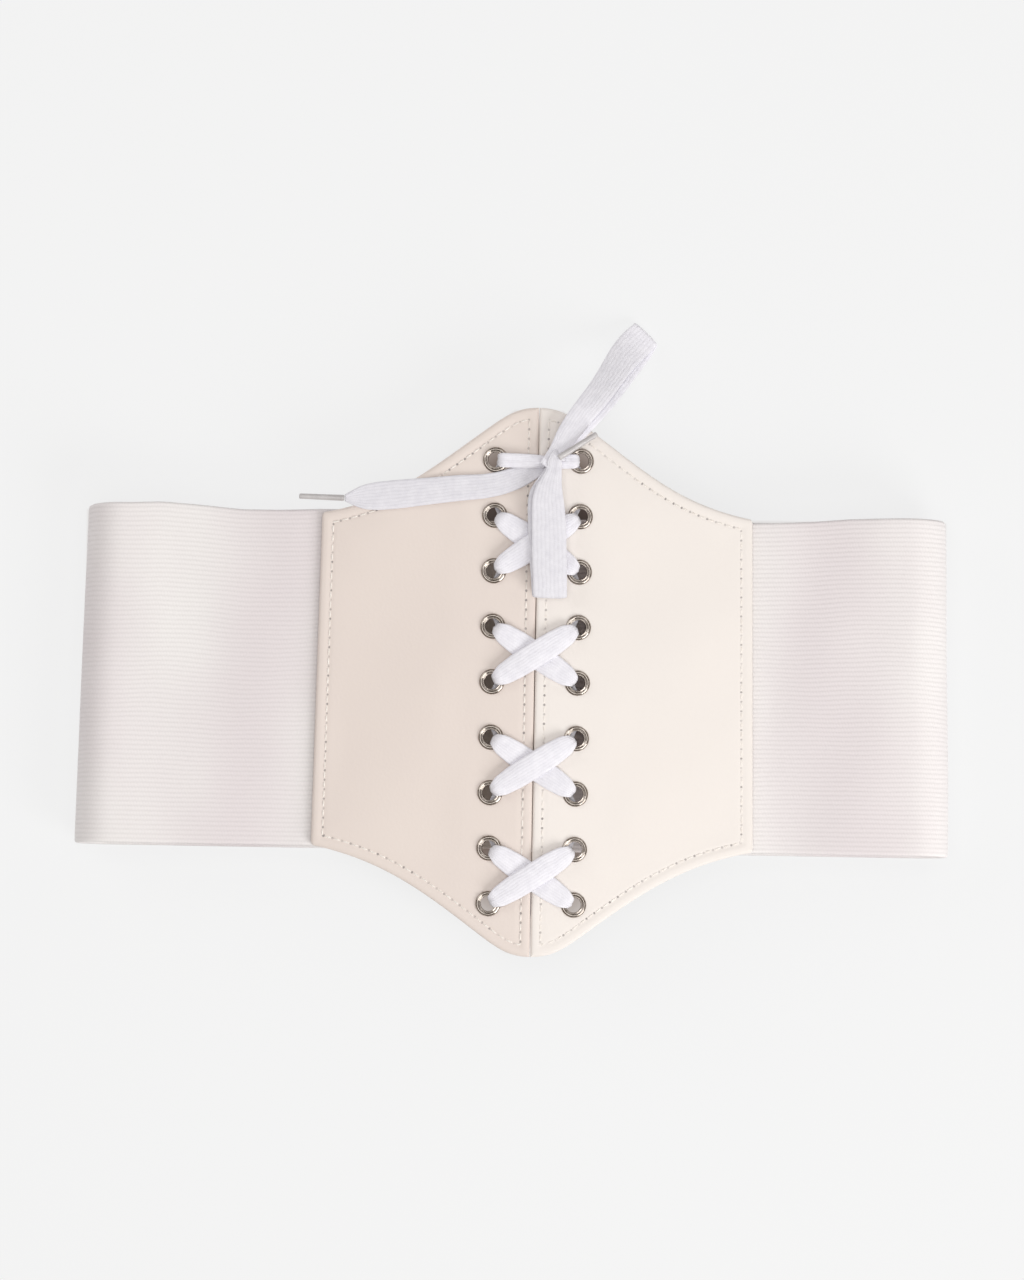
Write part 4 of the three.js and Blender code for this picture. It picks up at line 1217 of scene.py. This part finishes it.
def bow_loop(node, angle, reach, rows, heights, seed, material, over=()):
    """The lower ply follows the rows, the upper one lies a step above it along its normals, and a
    half circle joins them at the tip. The plies lie apart to the right and to the left, tip away
    from each other, and share one slant. over gives the upper ply's way on over the knot."""
    rows = np.array(rows)
    turn = np.radians(angle)
    ahead = np.array([np.cos(turn), np.sin(turn), 0])
    left = np.array([-ahead[1], ahead[0], 0])
    line = np.column_stack([rows[:, 0] * reach, heights, 0 * heights, rows[:, 2:]])
    line = eased(line, step=0.8, reach=2.2)
    d, z, shift, ply, apart, tipping, slant = line[:, [0, 1, 3, 4, 5, 6, 7]].T
    way = unit(np.stack([np.gradient(d), np.gradient(z)], axis=1))
    normal = np.stack([-way[:, 1], way[:, 0]], axis=1)
    angles = np.linspace(0, np.pi, 11)[1:-1]
    tip_out = PLY_STEP / 2 * np.sin(angles)
    tip_up = PLY_STEP / 2 * (1 - np.cos(angles))
    tip = np.array([d[-1], z[-1]]) + tip_out[:, None] * way[-1] + tip_up[:, None] * normal[-1]
    upper = np.stack([d, z], axis=1) + PLY_STEP * normal
    flat = np.concatenate([np.stack([d, z], axis=1), tip, upper[::-1]])
    bends = len(angles)
    shifts, slants, widths = (
        np.concatenate([each, np.full(bends, each[-1]), each[::-1]]) for each in (shift, slant, ply)
    )
    aside = shifts + np.concatenate([-apart, -apart[-1] * np.cos(angles), apart[::-1]])
    at = KNOT_AT * [1, 1, 0] + flat[:, :1] * ahead + aside[:, None] * left + flat[:, 1:] * [0, 0, 1]
    tips = np.concatenate([tipping, np.zeros(bends), -tipping[::-1]])
    across = left + slants[:, None] * ahead + tips[:, None] * [0, 0, 1]
    table = np.column_stack([at, across, widths, np.full(len(at), LOOP_THICKNESS)])
    if over:
        table = np.concatenate([table, over_knot(table[-1], *over)])
    made = ribbon(
        f"{node}_ribbon",
        table,
        across_steps=24,
        fold=0.24,
        seed=seed,
        material=material,
        fullness=2.4,
    )
    dressed(made, node)


def over_knot(last, first_pull, second_pull, end, across, width):
    """Carries a ply on from its last row over the knot, along a curve through two pulls to its end,
    while it turns and narrows with the share of the way."""
    steps = 18
    path = bezier([last[:3], first_pull, second_pull, end], steps)[1:]
    share = smooth(np.linspace(0, 1, steps)[1:])[:, None]
    turned = unit(last[3:6] * (1 - share) + np.array(across) * share)
    widths = last[6] * (1 - share) + width * share
    return np.column_stack([path, turned, widths, np.full(len(path), LOOP_THICKNESS)])


upper_heights = LOOP_REST + np.array(UPPER_LOOP)[:, 1] * (LOOP_START - LOOP_REST)
bow_loop(
    "bow_loop_upper",
    UPPER_TURN,
    UPPER_REACH,
    UPPER_LOOP,
    upper_heights,
    seed=21,
    material=lace_material,
)
# The lower loop's upper ply goes on over the knot and tucks in beside the upper loop's neck: the
# curve's two pulls and its end, the way across there, and the width.
OVER_KNOT = ((5.9, 80.6, 37.6), (6.3, 84.6, 38.6), (9.0, 82.4, 32.8), (0.3, -0.95, 0), 4.4)
lower_heights = panel_top(0) + np.array(LOWER_LOOP)[:, 1] * CROSS_LIFT
bow_loop(
    "bow_loop_lower",
    LOWER_TURN,
    LOWER_REACH,
    LOWER_LOOP,
    lower_heights,
    seed=33,
    material=shaded_lace_material,
    over=OVER_KNOT,
)


# The short end is pulled up to its aglet, a clear film like the long end's, which leaves the knot
# over the upper loop's neck.
SHORT_TURN = 33
SHORT_LIFT = 0.5
short_turn = np.radians(SHORT_TURN)
short_root = np.array(
    [
        KNOT_AT[0] + KNOT_RADIUS * np.cos(short_turn),
        KNOT_AT[1] + KNOT_RADIUS * np.sin(short_turn),
        LOOP_START + PLY_STEP + SHORT_LIFT + GAP + AGLET_RADIUS,
    ]
)
aglet("aglet_short_film", short_root, turn=SHORT_TURN, droop=1, node="aglet_short")
